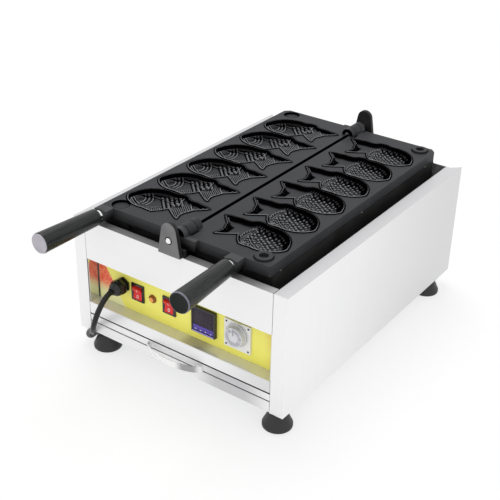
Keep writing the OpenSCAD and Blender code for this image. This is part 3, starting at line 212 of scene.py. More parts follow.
def turned(bm, profile, place, steps=64):
    """Spins a profile of (radius, height) about the place's own Z axis."""
    verts = [bm.verts.new((r, 0.0, h)) for r, h in profile]
    edges = [bm.edges.new(pair) for pair in zip(verts, verts[1:])]
    if profile[0][0] > 0 and profile[-1][0] > 0:
        edges.append(bm.edges.new((verts[-1], verts[0])))
    made = bmesh.ops.spin(
        bm, geom=verts + edges, cent=(0, 0, 0), axis=(0, 0, 1), dvec=(0, 0, 0),
        angle=2 * math.pi, steps=steps, use_merge=True, use_duplicate=False,
    )
    # The shape is everything that hangs together with the profile
    whole = set(verts) | {g for g in made["geom_last"] if isinstance(g, bmesh.types.BMVert)}
    front = list(whole)
    while front:
        v = front.pop()
        for e in v.link_edges:
            o = e.other_vert(v)
            if o not in whole:
                whole.add(o)
                front.append(o)
    bmesh.ops.remove_doubles(bm, verts=list(whole), dist=0.0005)
    alive = [v for v in whole if v.is_valid]
    bmesh.ops.transform(bm, matrix=place, verts=alive)
    return alive


def bar(bm, low, high, round_by=0.0, segments=2, place=None):
    """A block between two corners, with rounded edges."""
    low, high = Vector(low), Vector(high)
    made = bmesh.ops.create_cube(bm, size=1.0)
    verts = made["verts"]
    size = high - low
    bmesh.ops.scale(bm, vec=size, verts=verts)
    bmesh.ops.translate(bm, vec=(low + high) / 2, verts=verts)
    if round_by > 0:
        edges = {e for v in verts for e in v.link_edges}
        out = bmesh.ops.bevel(
            bm, geom=list(edges), offset=round_by, offset_type="OFFSET", segments=segments,
            profile=0.5, affect="EDGES", material=-1, clamp_overlap=True,
        )
        verts = out["verts"]
    if place is not None:
        bmesh.ops.transform(bm, matrix=place, verts=list(set(verts)))
    return verts


def plate_shape(bm, outline, depth, place, round_by=0.0, segments=2):
    """A flat outline in X and Y pushed out along Z, with its edges rounded."""
    verts = [bm.verts.new((x, y, 0.0)) for x, y in outline]
    face = bm.faces.new(verts)
    out = bmesh.ops.extrude_face_region(bm, geom=[face])
    top = [g for g in out["geom"] if isinstance(g, bmesh.types.BMVert)]
    bmesh.ops.translate(bm, vec=(0, 0, depth), verts=top)
    every = verts + top
    if round_by > 0:
        edges = [e for e in {e for v in every for e in v.link_edges} if e.is_valid]
        made = bmesh.ops.bevel(
            bm, geom=edges, offset=round_by, offset_type="OFFSET", segments=segments,
            profile=0.5, affect="EDGES", material=-1, clamp_overlap=True,
        )
        every = list(set(made["verts"]) | {v for v in every if v.is_valid})
    bmesh.ops.transform(bm, matrix=place, verts=every)
    return every


def circle_outline(radius, count, start=0.0):
    """Points round a circle, or the corners of a regular shape."""
    return [
        (radius * math.cos(start + 2 * math.pi * i / count), radius * math.sin(start + 2 * math.pi * i / count))
        for i in range(count)
    ]


# Finishes, with every place in metres because their patterns read the frame's own coordinates

# Stretch of brushed lines that run across the front, and the black of the painted shade in the joints between
# sheets
ACROSS = (2, 620, 620)
GAP_SHADE_BLACK = (0.02, 0.02, 0.02)
# The casing's top folds lie above this height in metres
FOLD_Z = 0.2477


def plain_finish(name, colour, rough, metallic=0.0, **sockets):
    """A material with one shader; sockets are the shader's own inputs by name."""
    made = bpy.data.materials.new(name)
    made.use_nodes = True
    shader = shader_of(made)
    shader.inputs["Base Color"].default_value = (*colour, 1)
    shader.inputs["Roughness"].default_value = rough
    shader.inputs["Metallic"].default_value = metallic
    for key, value in sockets.items():
        shader.inputs[key.replace("_", " ")].default_value = value
    made.diffuse_color = (*colour, 1)
    return made


def shader_of(finish):
    """The finish's one shader."""
    return finish.node_tree.nodes["Principled BSDF"]


def node(finish, kind, **values):
    """A new node of the finish, with its settings by name."""
    made = finish.node_tree.nodes.new(kind)
    for key, value in values.items():
        setattr(made, key, value)
    return made


def join(finish, out, into):
    """Joins a node's result to an input of another node."""
    finish.node_tree.links.new(out, into)


def feed(finish, key, out):
    """Joins a node's result to one input of the finish's shader."""
    join(finish, out, shader_of(finish).inputs[key])


def put(finish, value, socket):
    """Gives a socket a number, or joins a node's result to it."""
    if isinstance(value, (int, float)):
        socket.default_value = value
    else:
        join(finish, value, socket)


def object_points(finish, stretch=(1, 1, 1)):
    """The shaded point in the frame's own metres, stretched along each axis."""
    coords = node(finish, "ShaderNodeTexCoord")
    mapping = node(finish, "ShaderNodeMapping")
    mapping.inputs["Scale"].default_value = stretch
    join(finish, coords.outputs["Object"], mapping.inputs["Vector"])
    return mapping.outputs["Vector"]


def axes(finish):
    """The frame's own X, Y and Z of the shaded point, in metres."""
    split = node(finish, "ShaderNodeSeparateXYZ")
    join(finish, node(finish, "ShaderNodeTexCoord").outputs["Object"], split.inputs["Vector"])
    return split.outputs["X"], split.outputs["Y"], split.outputs["Z"]


def noise_of(finish, points, scale, detail=3.0, rough=0.55):
    """Cloudy noise, from 0 to 1."""
    made = node(finish, "ShaderNodeTexNoise")
    for key, value in (("Scale", scale), ("Detail", detail), ("Roughness", rough), ("Vector", points)):
        put(finish, value, made.inputs[key])
    return made.outputs["Fac"]


def spread(finish, value, low, high, from_low=0.0, from_high=1.0):
    """Runs smoothly from low to high while the value runs between the last two numbers."""
    made = node(finish, "ShaderNodeMapRange", interpolation_type="SMOOTHSTEP")
    for key, number in (("From Min", from_low), ("From Max", from_high), ("To Min", low), ("To Max", high)):
        made.inputs[key].default_value = number
    join(finish, value, made.inputs["Value"])
    return made.outputs["Result"]


def blend_of(finish, share, first, second):
    """Mixes two colours, or a colour and a colour that comes from a node."""
    made = node(finish, "ShaderNodeMix", data_type="RGBA")
    join(finish, share, made.inputs["Factor"])
    for slot, value in (("A", first), ("B", second)):
        target = [i for i in made.inputs if i.name == slot and i.type == "RGBA"][0]
        if isinstance(value, (tuple, list)):
            target.default_value = (*value, 1)
        else:
            join(finish, value, target)
    return [o for o in made.outputs if o.type == "RGBA"][0]


def mixed(finish, share, first, second):
    """A number between two others, either of which may come from a node."""
    made = node(finish, "ShaderNodeMapRange")
    for key, value in (("Value", share), ("To Min", first), ("To Max", second)):
        put(finish, value, made.inputs[key])
    return made.outputs["Result"]


def math_of(finish, operation, first, second=None):
    """The result of one sum on node results or numbers."""
    made = node(finish, "ShaderNodeMath", operation=operation)
    put(finish, first, made.inputs[0])
    if second is not None:
        put(finish, second, made.inputs[1])
    return made.outputs[0]


def both(finish, first, second):
    """The product, which is 1 only where both are."""
    return math_of(finish, "MULTIPLY", first, second)


def away(finish, value, middle):
    """How far a value lies from a middle, to either side."""
    return math_of(finish, "ABSOLUTE", math_of(finish, "SUBTRACT", value, middle))


def length_of(finish, first, second):
    """Square root of the sum of two squares."""
    squares = [math_of(finish, "MULTIPLY", value, value) for value in (first, second)]
    return math_of(finish, "SQRT", math_of(finish, "ADD", *squares))


def above(finish, value, edge, soft=0.0003):
    """1 where the value lies above the edge."""
    return spread(finish, value, 0.0, 1.0, edge - soft, edge + soft)


def below(finish, value, edge, soft=0.0003):
    """1 where the value lies below the edge."""
    return spread(finish, value, 1.0, 0.0, edge - soft, edge + soft)


def dent(finish, height, strength, distance, after=None):
    """Makes the surface look uneven, on top of an earlier unevenness if one is given."""
    made = node(finish, "ShaderNodeBump")
    for key, value in (("Strength", strength), ("Distance", distance), ("Height", height)):
        put(finish, value, made.inputs[key])
    if after is not None:
        join(finish, after, made.inputs["Normal"])
    return made.outputs["Normal"]


def shade(colour, by):
    """The colour made darker or lighter."""
    return tuple(min(1.0, max(0.0, c * by)) for c in colour)


def over(finish, share, colour, rough=None, metallic=None):
    """Lays another colour and shine over a finish where share is 1."""
    shader = shader_of(finish)
    under = shader.inputs["Base Color"].links[0].from_socket
    feed(finish, "Base Color", blend_of(finish, share, under, colour))
    for key, value in (("Roughness", rough), ("Metallic", metallic)):
        if value is not None:
            socket = shader.inputs[key]
            before = socket.links[0].from_socket if socket.links else socket.default_value
            feed(finish, key, mixed(finish, share, before, value))


def tinted(finish, value, colour, contrast):
    """The colour, a little darker and lighter from place to place."""
    tint = spread(finish, value, 0.0, 1.0, 0.3, 0.7)
    return blend_of(finish, tint, shade(colour, 1 - contrast), shade(colour, 1 + contrast))


def brushed(name, colour, stretch, rough=0.34, contrast=0.06, bump=0.05, metallic=1.0):
    """Stainless sheet with fine lines along the axis whose stretch is small."""
    made = plain_finish(name, colour, rough, metallic)
    lines = noise_of(made, object_points(made, stretch), 1.0, 4.0, 0.65)
    clouds = noise_of(made, object_points(made, (3, 3, 3)), 1.0, 2.0, 0.5)
    pattern = math_of(made, "ADD", both(made, lines, 0.65), both(made, clouds, 0.35))
    feed(made, "Base Color", tinted(made, pattern, colour, contrast))
    feed(made, "Roughness", spread(made, lines, rough - 0.07, rough + 0.09, 0.3, 0.7))
    feed(made, "Normal", dent(made, lines, bump, 0.0002))
    return made


def grained(name, colour, rough, scale=900.0, bump=0.15, depth=0.0002, contrast=0.12, metallic=0.0, **sockets):
    """Moulded or cast surface with fine grain and faint uneven shine."""
    made = plain_finish(name, colour, rough, metallic, **sockets)
    grain = noise_of(made, object_points(made), scale, 3.0, 0.6)
    clouds = noise_of(made, object_points(made), 22.0, 3.0, 0.55)
    feed(made, "Base Color", tinted(made, clouds, colour, contrast))
    feed(made, "Roughness", spread(made, clouds, rough - 0.05, rough + 0.07, 0.3, 0.7))
    feed(made, "Normal", dent(made, grain, bump, depth))
    return made


def front_plane(offset):
    """Depth in metres of a plane this many millimetres behind the casing's front."""
    return MIDDLE_Y + (offset - HALF_DEPTH) * MM


def upper_steel(name, colour):
    """Upper front panel: white brushed sheet with a matt grey fold on top, and black painted shade in the joints
    at its ends.
    """
    made = brushed(name, colour, ACROSS, 0.44, 0.02, 0.03, 0.55)
    x, y, z = axes(made)
    # Painted shade: black wherever the sheet lies deeper than its face
    over(made, above(made, y, front_plane(1.2)), GAP_SHADE_BLACK, 0.5, 0.0)
    fold = above(made, z, FOLD_Z, 0.0002)
    over(made, fold, (0.170, 0.168, 0.172), 0.55, 0.0)
    right_end = spread(made, x, 0.0, 1.0, 0.14, 0.19)
    over(made, both(made, fold, right_end), (0.42, 0.42, 0.42), 0.5, 0.3)
    return made


def recess_steel(name, colour):
    """Control recess: mirror-like cheeks, a softly mirroring ledge with a painted reflection, a strip with a
    painted reflection that darkens it to the right, and black painted shade in the joints beside the cheeks.
    """
    made = brushed(name, colour, ACROSS, 0.42, 0.03, 0.03, 0.55)
    x, y, z = axes(made)
    # Painted reflection: the strip turns greyer and more metallic towards its right end
    right_end = spread(made, x, 0.0, 0.6, 0.06, 0.19)
    over(made, right_end, (0.62, 0.62, 0.63), 0.36, 0.8)
    # The ledge is glossy; its beige tint and a darker patch on it are painted reflections
    deep = above(made, y, front_plane(1.2))
    ledge = both(made, deep, above(made, z, 0.0886, 0.0002))
    over(made, ledge, (0.74, 0.73, 0.66), 0.20, 0.3)
    painted_dark_reflection = both(made, above(made, x, 0.012, 0.012), below(made, x, 0.058, 0.014))
    over(made, both(made, ledge, painted_dark_reflection), (0.45, 0.43, 0.36), 0.20, 0.3)
    aside = math_of(made, "ABSOLUTE", x)
    cheek = above(made, aside, 0.1870)
    over(made, both(made, deep, cheek), (0.72, 0.72, 0.70), 0.12, 1.0)
    # Painted shade: black in the joints beside the cheeks
    joint = above(made, aside, 0.18925, 0.0001)
    over(made, both(made, deep, joint), GAP_SHADE_BLACK, 0.5, 0.0)
    return made


def drawer_steel(name, colour):
    """Drawer front: white on the left, darker brushed grey to the right as a painted reflection, and black
    painted shade where it lies deeper.
    """
    made = brushed(name, colour, ACROSS, 0.42, 0.04, 0.04, 0.55)
    x, y, _ = axes(made)
    # Painted reflection: darker brushed grey towards the right
    grey = both(made, spread(made, x, 0.0, 0.8, 0.03, 0.09), below(made, x, 0.165, 0.03))
    over(made, grey, (0.52, 0.52, 0.53), 0.36, 0.8)
    # Painted shade: black where the front lies deeper than its face, in the groove
    over(made, above(made, y, front_plane(0.9), 0.0001), (0.012, 0.012, 0.012), 0.6, 0.0)
    return made


def side_steel(name, colour):
    """Side panels: white sheet with painted shade that darkens it to the back, with a darker top flange."""
    made = brushed(name, colour, (2, 620, 2), 0.44, 0.03, 0.03, 0.55)
    _, y, z = axes(made)
    # Painted shade: the sheet darkens towards the back
    painted_back_shade = spread(made, y, 0.0, 1.0, front_plane(30), front_plane(2 * HALF_DEPTH))
    over(made, painted_back_shade, shade(colour, 0.76), 0.44, 0.55)
    over(made, above(made, z, FOLD_Z, 0.0002), (0.58, 0.58, 0.59), 0.45, 0.4)
    return made


def plate_painted_shade(made, x, y, z, painted_shading):
    """Share of painted shade: 1 in the slot between the plates, beside the knuckles, at the foot of the rings and
    in grooves.
    """
    # Painted shade, black, in the slot between the plates, in the gaps beside the knuckles and at the foot of the
    # rings
    across = math_of(made, "ABSOLUTE", x)
    in_slot = below(made, z, PLATE_TOP * MM + 0.0001, 0.0001)
    slot = both(made, below(made, across, 0.0038), in_slot)
    from_axis = length_of(made, x, math_of(made, "SUBTRACT", z, AXIS_Z * MM))
    over_plate = above(made, z, PLATE_TOP * MM + 0.0006, 0.0002)
    joints = both(made, below(made, from_axis, 0.0117, 0.0002), over_plate)
    from_middle = away(made, y, MIDDLE_Y + PLATES_MIDDLE_Y * MM)
    along = math_of(made, "SUBTRACT", from_middle, RING_Y * MM)
    from_ring = length_of(made, along, math_of(made, "SUBTRACT", across, RING_X * MM))
    outside = above(made, from_ring, RING_R * MM + 0.0001, 0.0001)
    ring_foot = both(made, outside, below(made, from_ring, RING_R * MM + 0.0018))
    # Painted shade in the carved fish's grooves, from their painted shading
    dark = spread(made, painted_shading, 1.0, 0.0, -0.8, -0.03)
    for part in (slot, joints, ring_foot):
        dark = math_of(made, "MAXIMUM", dark, part)
    return dark


def coating(name, colour):
    """Dark non-stick coating with black painted shade in grooves, gaps and round the rings, and a painted
    highlight on ridges.
    """
    made = plain_finish(name, colour, 0.42, 0.0)
    grain = noise_of(made, object_points(made), 1500.0, 2.0, 0.6)
    peel = noise_of(made, object_points(made), 420.0, 3.0, 0.55)
    clouds = noise_of(made, object_points(made), 14.0, 4.0, 0.6)
    patches = spread(made, clouds, 0.0, 1.0, 0.32, 0.68)
    body = blend_of(made, patches, shade(colour, 0.86), shade(colour, 1.16))
    x, y, z = axes(made)
    # The front faces get painted shade: they run from black at their foot to the coating's grey
    rise = spread(made, z, 0.0, 1.0, 0.258, PLATE_TOP * MM - 0.00025)
    fade = blend_of(made, rise, (0.008, 0.008, 0.008), (0.060, 0.061, 0.063))
    body = blend_of(made, below(made, y, front_plane(22.0), 0.0006), body, fade)
    # The carved fish's painted light and shade: black where it is low, a painted highlight where it is high
    painted_shading = node(made, "ShaderNodeAttribute", attribute_name="painted_shading", attribute_type="GEOMETRY").outputs["Fac"]
    dark = plate_painted_shade(made, x, y, z, painted_shading)
    body = blend_of(made, dark, body, (0.0010, 0.0010, 0.0012))
    bright = spread(made, painted_shading, 0.0, 1.0, 0.06, 0.9)
    feed(made, "Base Color", blend_of(made, bright, body, (0.25, 0.255, 0.265)))
    feed(made, "Specular IOR Level", mixed(made, dark, mixed(made, bright, 0.10, 0.35), 0.0))
    feed(made, "Roughness", spread(made, clouds, 0.40, 0.52, 0.3, 0.7))
    first = dent(made, grain, 0.25, 0.00015)
    feed(made, "Normal", dent(made, peel, 0.22, 0.0004, first))
    return made


def post_finish(name, colour):
    """Grained grey of the hinge posts, with painted shade that makes them nearly black on the sides and behind.
    """
    made = grained(name, colour, 0.5, 1100.0, 0.25, 0.0002, 0.10, 0.0, Specular_IOR_Level=0.2)
    _, y, _ = axes(made)
    # Painted shade: nearly black on the sides and behind
    over(made, above(made, y, front_plane(-9.3)), (0.018, 0.018, 0.018))
    return made


def pull_finish(name, colour):
    """Polished strap of the drawer's pull, darker at its right end from a painted reflection."""
    made = brushed(name, colour, (3, 200, 200), 0.3, 0.03, 0.01, 0.6)
    x, _, _ = axes(made)
    # Painted reflection: the strap is darker towards its right end
    right_end = both(made, above(made, x, 0.022, 0.008), below(made, x, 0.052, 0.006))
    over(made, right_end, (0.36, 0.36, 0.37), 0.26, 0.9)
    return made


def grip_plastic(name, colour):
    """Smooth black handle plastic with faint lines drawn along its length, and painted shade on its lower side.
    """
    made = plain_finish(name, colour, 0.3, Specular_IOR_Level=0.30)
    lines = noise_of(made, object_points(made, (900, 12, 900)), 1.0, 3.0, 0.6)
    clouds = noise_of(made, object_points(made, (30, 30, 30)), 1.0, 2.0, 0.5)
    streaks = spread(made, lines, 0.0, 1.0, 0.35, 0.65)
    feed(made, "Base Color", blend_of(made, streaks, shade(colour, 0.5), shade(colour, 2.0)))
    _, _, z = axes(made)
    # Painted shade: the grip's lower side is nearly black
    painted_under_shade = below(made, z, 0.2590, 0.006)
    over(made, painted_under_shade, (0.001, 0.001, 0.001))
    feed(made, "Roughness", spread(made, clouds, 0.26, 0.38, 0.3, 0.7))
    feed(made, "Normal", dent(made, lines, 0.12, 0.0002))
    return made


def lens_finish(name, colour):
    """Clear amber cap of the lamp, darker round its rim."""
    made = grained(name, colour, 0.16, 700.0, 0.05, 0.0001, 0.10, 0.0, Coat_Weight=0.5, Coat_Roughness=0.05)
    x, _, z = axes(made)
    aside = math_of(made, "SUBTRACT", x, LAMP_X * MM)
    rise = math_of(made, "SUBTRACT", z, ROW_Z * MM)
    over(made, above(made, length_of(made, aside, rise), 0.0043, 0.0004), (0.33, 0.10, 0.01))
    return made


def printed_film(name, yellow):
    """Yellow printed film: a red patch fades to lime at its left end, orange dots gather at its right end, and
    black painted shade lies along its left edge.
    """
    made = plain_finish(name, yellow, 0.34)
    x, _, z = axes(made)
    soft = noise_of(made, object_points(made), 60.0, 4.0, 0.6)
    wobble = both(made, math_of(made, "SUBTRACT", soft, 0.5), 0.006)
    slanted = math_of(made, "ADD", x, both(made, z, 0.61))
    patch = spread(made, math_of(made, "ADD", slanted, wobble), 1.0, 0.0, -0.0745, -0.0730)
    height = math_of(made, "ADD", z, both(made, wobble, 2.0))
    warm = both(made, patch, spread(made, height, 0.0, 1.0, 0.100, 0.130))
    veins = spread(made, noise_of(made, object_points(made), 170.0, 5.0, 0.65), 0.0, 1.0, 0.38, 0.62)
    red = blend_of(made, veins, (0.92, 0.085, 0.035), (0.98, 0.27, 0.12))
    pale = blend_of(made, patch, yellow, (0.96, 0.96, 0.50))
    left = blend_of(made, warm, pale, red)
    # Painted shade: black along the film's left edge, in the gap beside the cheek
    left = blend_of(made, below(made, x, -0.1856, 0.0002), left, (0.02, 0.02, 0.018))
    dots = node(made, "ShaderNodeTexVoronoi")
    dots.inputs["Scale"].default_value = 700.0
    join(made, object_points(made), dots.inputs["Vector"])
    speck = spread(made, dots.outputs["Distance"], 1.0, 0.0, 0.25, 0.5)
    reach = math_of(made, "ADD", x, both(made, wobble, 3.0))
    right = spread(made, reach, 0.0, 1.0, 0.158, 0.188)
    high = spread(made, z, 0.35, 1.0, 0.100, 0.172)
    strength = math_of(made, "ADD", both(made, speck, 0.5), 0.4)
    tint = both(made, both(made, right, high), strength)
    feed(made, "Base Color", blend_of(made, tint, left, (0.86, 0.25, 0.04)))
    feed(made, "Roughness", spread(made, soft, 0.30, 0.40, 0.3, 0.7))
    return made


# Settings of the shader for plastics with little shine, and for clear ones
MATT = {"Specular_IOR_Level": 0.2}
CLEAR = {"Coat_Weight": 0.6, "Coat_Roughness": 0.05}

# Sheets: colour, stretch of the lines, roughness, contrast, unevenness and share of metal
BRUSHED = {
    "inner_steel": ((0.55, 0.56, 0.57), (2, 400, 400), 0.42, 0.08, 0.06, 1.0),
    "tray_steel": ((0.62, 0.63, 0.64), (500, 3, 500), 0.36, 0.06, 0.05, 1.0),
    "bright_metal": ((0.86, 0.86, 0.86), (300, 300, 300), 0.16, 0.04, 0.02, 1.0),
    "pin_brass": ((0.66, 0.50, 0.20), (500, 500, 500), 0.24, 0.06, 0.02, 1.0),
}

# Moulded and cast pieces: colour, roughness, grains a metre, unevenness, its depth in metres,
# contrast, share of metal, and other settings of the shader
GRAINED = {
    "trough_steel": ((0.022, 0.022, 0.021), 0.5, 600.0, 0.1, 0.0001, 0.3, 0.0, {"Specular_IOR_Level": 0.12}),
    "bolt_metal": ((0.95, 0.95, 0.95), 0.3, 700.0, 0.05, 0.0001, 0.05, 0.5, {}),
    "heater_rod": ((0.16, 0.165, 0.155), 0.5, 700.0, 0.25, 0.0002, 0.2, 0.6, {}),
    "cap_plastic": ((0.42, 0.40, 0.45), 0.32, 900.0, 0.05, 0.0002, 0.12, 0.0, {}),
    # A lighter violet, a painted highlight on the rim at the right grip's end
    "cap_edge": ((0.16, 0.15, 0.20), 0.4, 900.0, 0.05, 0.0001, 0.1, 0.0, {}),
    "cap_dark": ((0.008, 0.012, 0.011), 0.5, 900.0, 0.05, 0.0001, 0.1, 0.0, {"Specular_IOR_Level": 0.15}),
    "black_plastic": ((0.010, 0.010, 0.011), 0.22, 1300.0, 0.06, 0.0002, 0.12, 0.0, {}),
    "black_gloss": ((0.010, 0.010, 0.013), 0.16, 500.0, 0.02, 0.0002, 0.12, 0.0, {}),
    "display_glass": ((0.030, 0.022, 0.036), 0.30, 400.0, 0.01, 0.0001, 0.15, 0.0, MATT),
    "digit_grey": ((0.075, 0.060, 0.075), 0.45, 900.0, 0.02, 0.0001, 0.1, 0.0, MATT),
    "violet_strip": ((0.12, 0.085, 0.42), 0.4, 900.0, 0.04, 0.0001, 0.1, 0.0, MATT),
    "violet_line": ((0.42, 0.36, 0.86), 0.4, 900.0, 0.04, 0.0001, 0.06, 0.0, {}),
    "violet_key": ((0.17, 0.13, 0.52), 0.42, 900.0, 0.06, 0.0001, 0.1, 0.0, MATT),
    "white_mark": ((0.86, 0.86, 0.86), 0.4, 900.0, 0.02, 0.0001, 0.02, 0.0, {}),
    "dark_mark": ((0.025, 0.025, 0.03), 0.45, 900.0, 0.02, 0.0002, 0.12, 0.0, {}),
    "timer_silver": ((0.88, 0.88, 0.86), 0.40, 1200.0, 0.08, 0.0001, 0.05, 0.0, {}),
    "dial_clear": ((0.66, 0.66, 0.70), 0.13, 500.0, 0.02, 0.0001, 0.08, 0.0, CLEAR),
    "rocker_red": ((0.78, 0.030, 0.028), 0.34, 800.0, 0.03, 0.0001, 0.06, 0.0, {"Specular_IOR_Level": 0.25}),
    "amber_ring": ((0.30, 0.09, 0.01), 0.4, 900.0, 0.05, 0.0002, 0.12, 0.0, {}),
    "grey_plastic": ((0.48, 0.48, 0.46), 0.45, 1000.0, 0.1, 0.0002, 0.12, 0.0, {}),
    "ivory_plastic": ((0.72, 0.68, 0.54), 0.42, 1000.0, 0.1, 0.0002, 0.12, 0.0, {}),
    "wire_red": ((0.34, 0.02, 0.015), 0.4, 900.0, 0.05, 0.0002, 0.12, 0.0, {}),
    "lead_jacket": ((0.009, 0.009, 0.010), 0.34, 1400.0, 0.12, 0.0001, 0.1, 0.0, {"Specular_IOR_Level": 0.35}),
    "plug_plastic": ((0.016, 0.016, 0.017), 0.42, 1200.0, 0.2, 0.0002, 0.12, 0.0, {}),
    "foot_rubber": ((0.015, 0.015, 0.016), 0.5, 900.0, 0.25, 0.0003, 0.12, 0.0, {}),
}

FINISH = {}


def make_finishes():
    """Makes every finish that the pieces and the carried-over nodes use."""
    sheet = settings().waffle_sheet
    steel = tuple(sheet.steel)
    for name, values in BRUSHED.items():
        FINISH[name] = brushed(name, *values)
    for name, (*values, sockets) in GRAINED.items():
        FINISH[name] = grained(name, *values, **sockets)
    FINISH["rear_steel"] = brushed("rear_steel", steel, ACROSS, 0.44, 0.03, 0.03, 0.55)
    for name, make, colour in (
        ("side_steel", side_steel, steel), ("upper_steel", upper_steel, steel),
        ("recess_steel", recess_steel, steel), ("drawer_steel", drawer_steel, steel),
        ("pull_steel", pull_finish, (0.92, 0.92, 0.92)), ("post_metal", post_finish, (0.185, 0.183, 0.188)),
        ("plate_coating", coating, tuple(settings().waffle_casting.colour)),
        ("grip_plastic", grip_plastic, (0.011, 0.012, 0.012)), ("film", printed_film, tuple(sheet.film)),
        ("amber_lens", lens_finish, (0.90, 0.34, 0.05)),
    ):
        FINISH[name] = make(name, colour)


NODE_FINISH = {
    "base_pan": "inner_steel", "left_side_panel": "side_steel", "right_side_panel": "side_steel",
    "rear_panel": "rear_steel", "upper_front_panel": "upper_steel", "control_panel": "recess_steel",
    "control_overlay": "film", "service_shelf": "inner_steel", "trough_rails": "inner_steel",
    "left_trough": "trough_steel", "right_trough": "trough_steel", "left_heater": "heater_rod",
    "right_heater": "heater_rod", "heater_clips": "inner_steel", "plate_rest_bolts": "bolt_metal",
    "case_screws": "bright_metal", "thermocouple": "bright_metal", "terminal_block": "ivory_plastic",
    "contactor": "grey_plastic", "wire_loom": "wire_red", "controller_body": "black_gloss",
    "controller_bezel": "black_gloss", "set_key": "violet_key", "shift_key": "violet_key",
    "down_key": "violet_key", "up_key": "violet_key", "timer_body": "timer_silver",
    "timer_dial": "dial_clear", "left_switch_frame": "black_gloss", "right_switch_frame": "black_gloss",
    "left_rocker": "rocker_red", "right_rocker": "rocker_red", "lamp_body": "amber_ring",
    "lamp_lens": "amber_lens", "gland_body": "black_plastic", "gland_nut": "black_plastic",
    "gland_locknut": "black_plastic", "plug_pins": "pin_brass", "rubber_feet": "foot_rubber",
    "foot_screws": "bright_metal", "drawer_runners": "inner_steel", "drawer_tray": "tray_steel",
    "drawer_front": "drawer_steel", "drawer_pull": "pull_steel", "pull_rivets": "bright_metal",
    "front_hinge_post": "post_metal", "rear_hinge_post": "post_metal", "hinge_pins": "bright_metal",
    "left_plate": "plate_coating", "right_plate": "plate_coating", "left_handle_stud": "bright_metal",
    "right_handle_stud": "bright_metal", "left_grip": "grip_plastic", "right_grip": "grip_plastic",
    "left_grip_cap": "cap_plastic", "right_grip_cap": "cap_dark", "power_cord": "lead_jacket",
    "cord_coil": "lead_jacket", "plug_body": "plug_plastic",
}

# Radius in millimetres that each carried-over node's edges are rounded to
NODE_EDGES = {
    "left_side_panel": 0.6, "right_side_panel": 0.6, "rear_panel": 0.5, "upper_front_panel": 0.6,
    "control_panel": 0.5, "drawer_front": 0.4, "drawer_pull": 0.5, "left_plate": 0.9,
    "right_plate": 0.9, "front_hinge_post": 0.7, "rear_hinge_post": 0.7, "case_screws": 0.7,
    "plate_rest_bolts": 0.4, "controller_bezel": 0.7, "timer_body": 0.8, "left_switch_frame": 0.5,
    "right_switch_frame": 0.5, "left_rocker": 0.6, "right_rocker": 0.6, "left_trough": 0.5,
    "right_trough": 0.5, "left_handle_stud": 0.6, "right_handle_stud": 0.6, "set_key": 0.3,
    "shift_key": 0.3, "down_key": 0.3, "up_key": 0.3, "hinge_pins": 0.4, "contactor": 1.0,
    "terminal_block": 0.6, "pull_rivets": 0.3,
}


def smooth_by_angle_group(degrees):
    """A node group that shades a mesh smooth up to an angle between its faces."""
    group = bpy.data.node_groups.new("smooth_by_angle", "GeometryNodeTree")
    group.interface.new_socket("Geometry", in_out="INPUT", socket_type="NodeSocketGeometry")
    group.interface.new_socket("Geometry", in_out="OUTPUT", socket_type="NodeSocketGeometry")
    start = group.nodes.new("NodeGroupInput")
    end = group.nodes.new("NodeGroupOutput")
    faces = group.nodes.new("GeometryNodeSetShadeSmooth")
    faces.domain = "FACE"
    faces.inputs["Shade Smooth"].default_value = True
    edges = group.nodes.new("GeometryNodeSetShadeSmooth")
    edges.domain = "EDGE"
    edges.inputs["Shade Smooth"].default_value = False
    angle = group.nodes.new("GeometryNodeInputMeshEdgeAngle")
    sharp = group.nodes.new("FunctionNodeCompare")
    sharp.data_type = "FLOAT"
    sharp.operation = "GREATER_THAN"
    sharp.inputs["B"].default_value = math.radians(degrees)
    group.links.new(start.outputs[0], faces.inputs["Geometry"])
    group.links.new(faces.outputs["Geometry"], edges.inputs["Geometry"])
    group.links.new(angle.outputs["Unsigned Angle"], sharp.inputs["A"])
    group.links.new(sharp.outputs["Result"], edges.inputs["Selection"])
    group.links.new(edges.outputs["Geometry"], end.inputs[0])
    return group


def soften(obj, radius, group):
    """Rounds a carried-over node's edges and shades it smooth."""
    weld = obj.modifiers.new("weld", "WELD")
    weld.merge_threshold = 0.00001
    bevel = obj.modifiers.new("rounded_edges", "BEVEL")
    bevel.width = radius * MM
    bevel.segments = 2
    bevel.limit_method = "ANGLE"
    bevel.angle_limit = math.radians(40)
    bevel.use_clamp_overlap = True
    smooth = obj.modifiers.new("smooth_by_angle", "NODES")
    smooth.node_group = group
    even = obj.modifiers.new("even_faces", "WEIGHTED_NORMAL")
    even.keep_sharp = True


# Carved fish, in millimetres from the hinge line and from the fish's own middle
FISH_TAIL_TOP = [
    (16.5, 22.5), (25, 25.5), (36, 26.4), (45, 28.2), (55, 27.6), (63, 28.8),
    (71.7, 35.4), (79, 37.2), (88, 35.6), (93, 33.2),
]
FISH_BACK = [(97, 33.4), (128, 36), (150, 23), (158.3, -12)]
FISH_BELLY = [(158, -17), (150, -32), (130, -44), (107, -39)]
FISH_FIN_TAIL = [
    (93, -40.2), (88, -39.6), (78, -29), (70, -15.6), (57, -25), (45, -33), (38.5, -36),
    (42.5, -24), (41.7, -14), (38, -5.6), (35, 3), (25, 13),
]


def curve_points(handles, count=7):
    """Points along a curve with two ends and two handles."""
    p = np.array(handles, float)
    t = np.linspace(0, 1, count + 1)[:, None]
    s = 1 - t
    return s**3 * p[0] + 3 * s * s * t * p[1] + 3 * s * t * t * p[2] + t**3 * p[3]


def fish_outline():
    """The whole fish with its tail and fin, the hinge line at x = 0."""
    return np.vstack([FISH_TAIL_TOP, curve_points(FISH_BACK), curve_points(FISH_BELLY), FISH_FIN_TAIL])


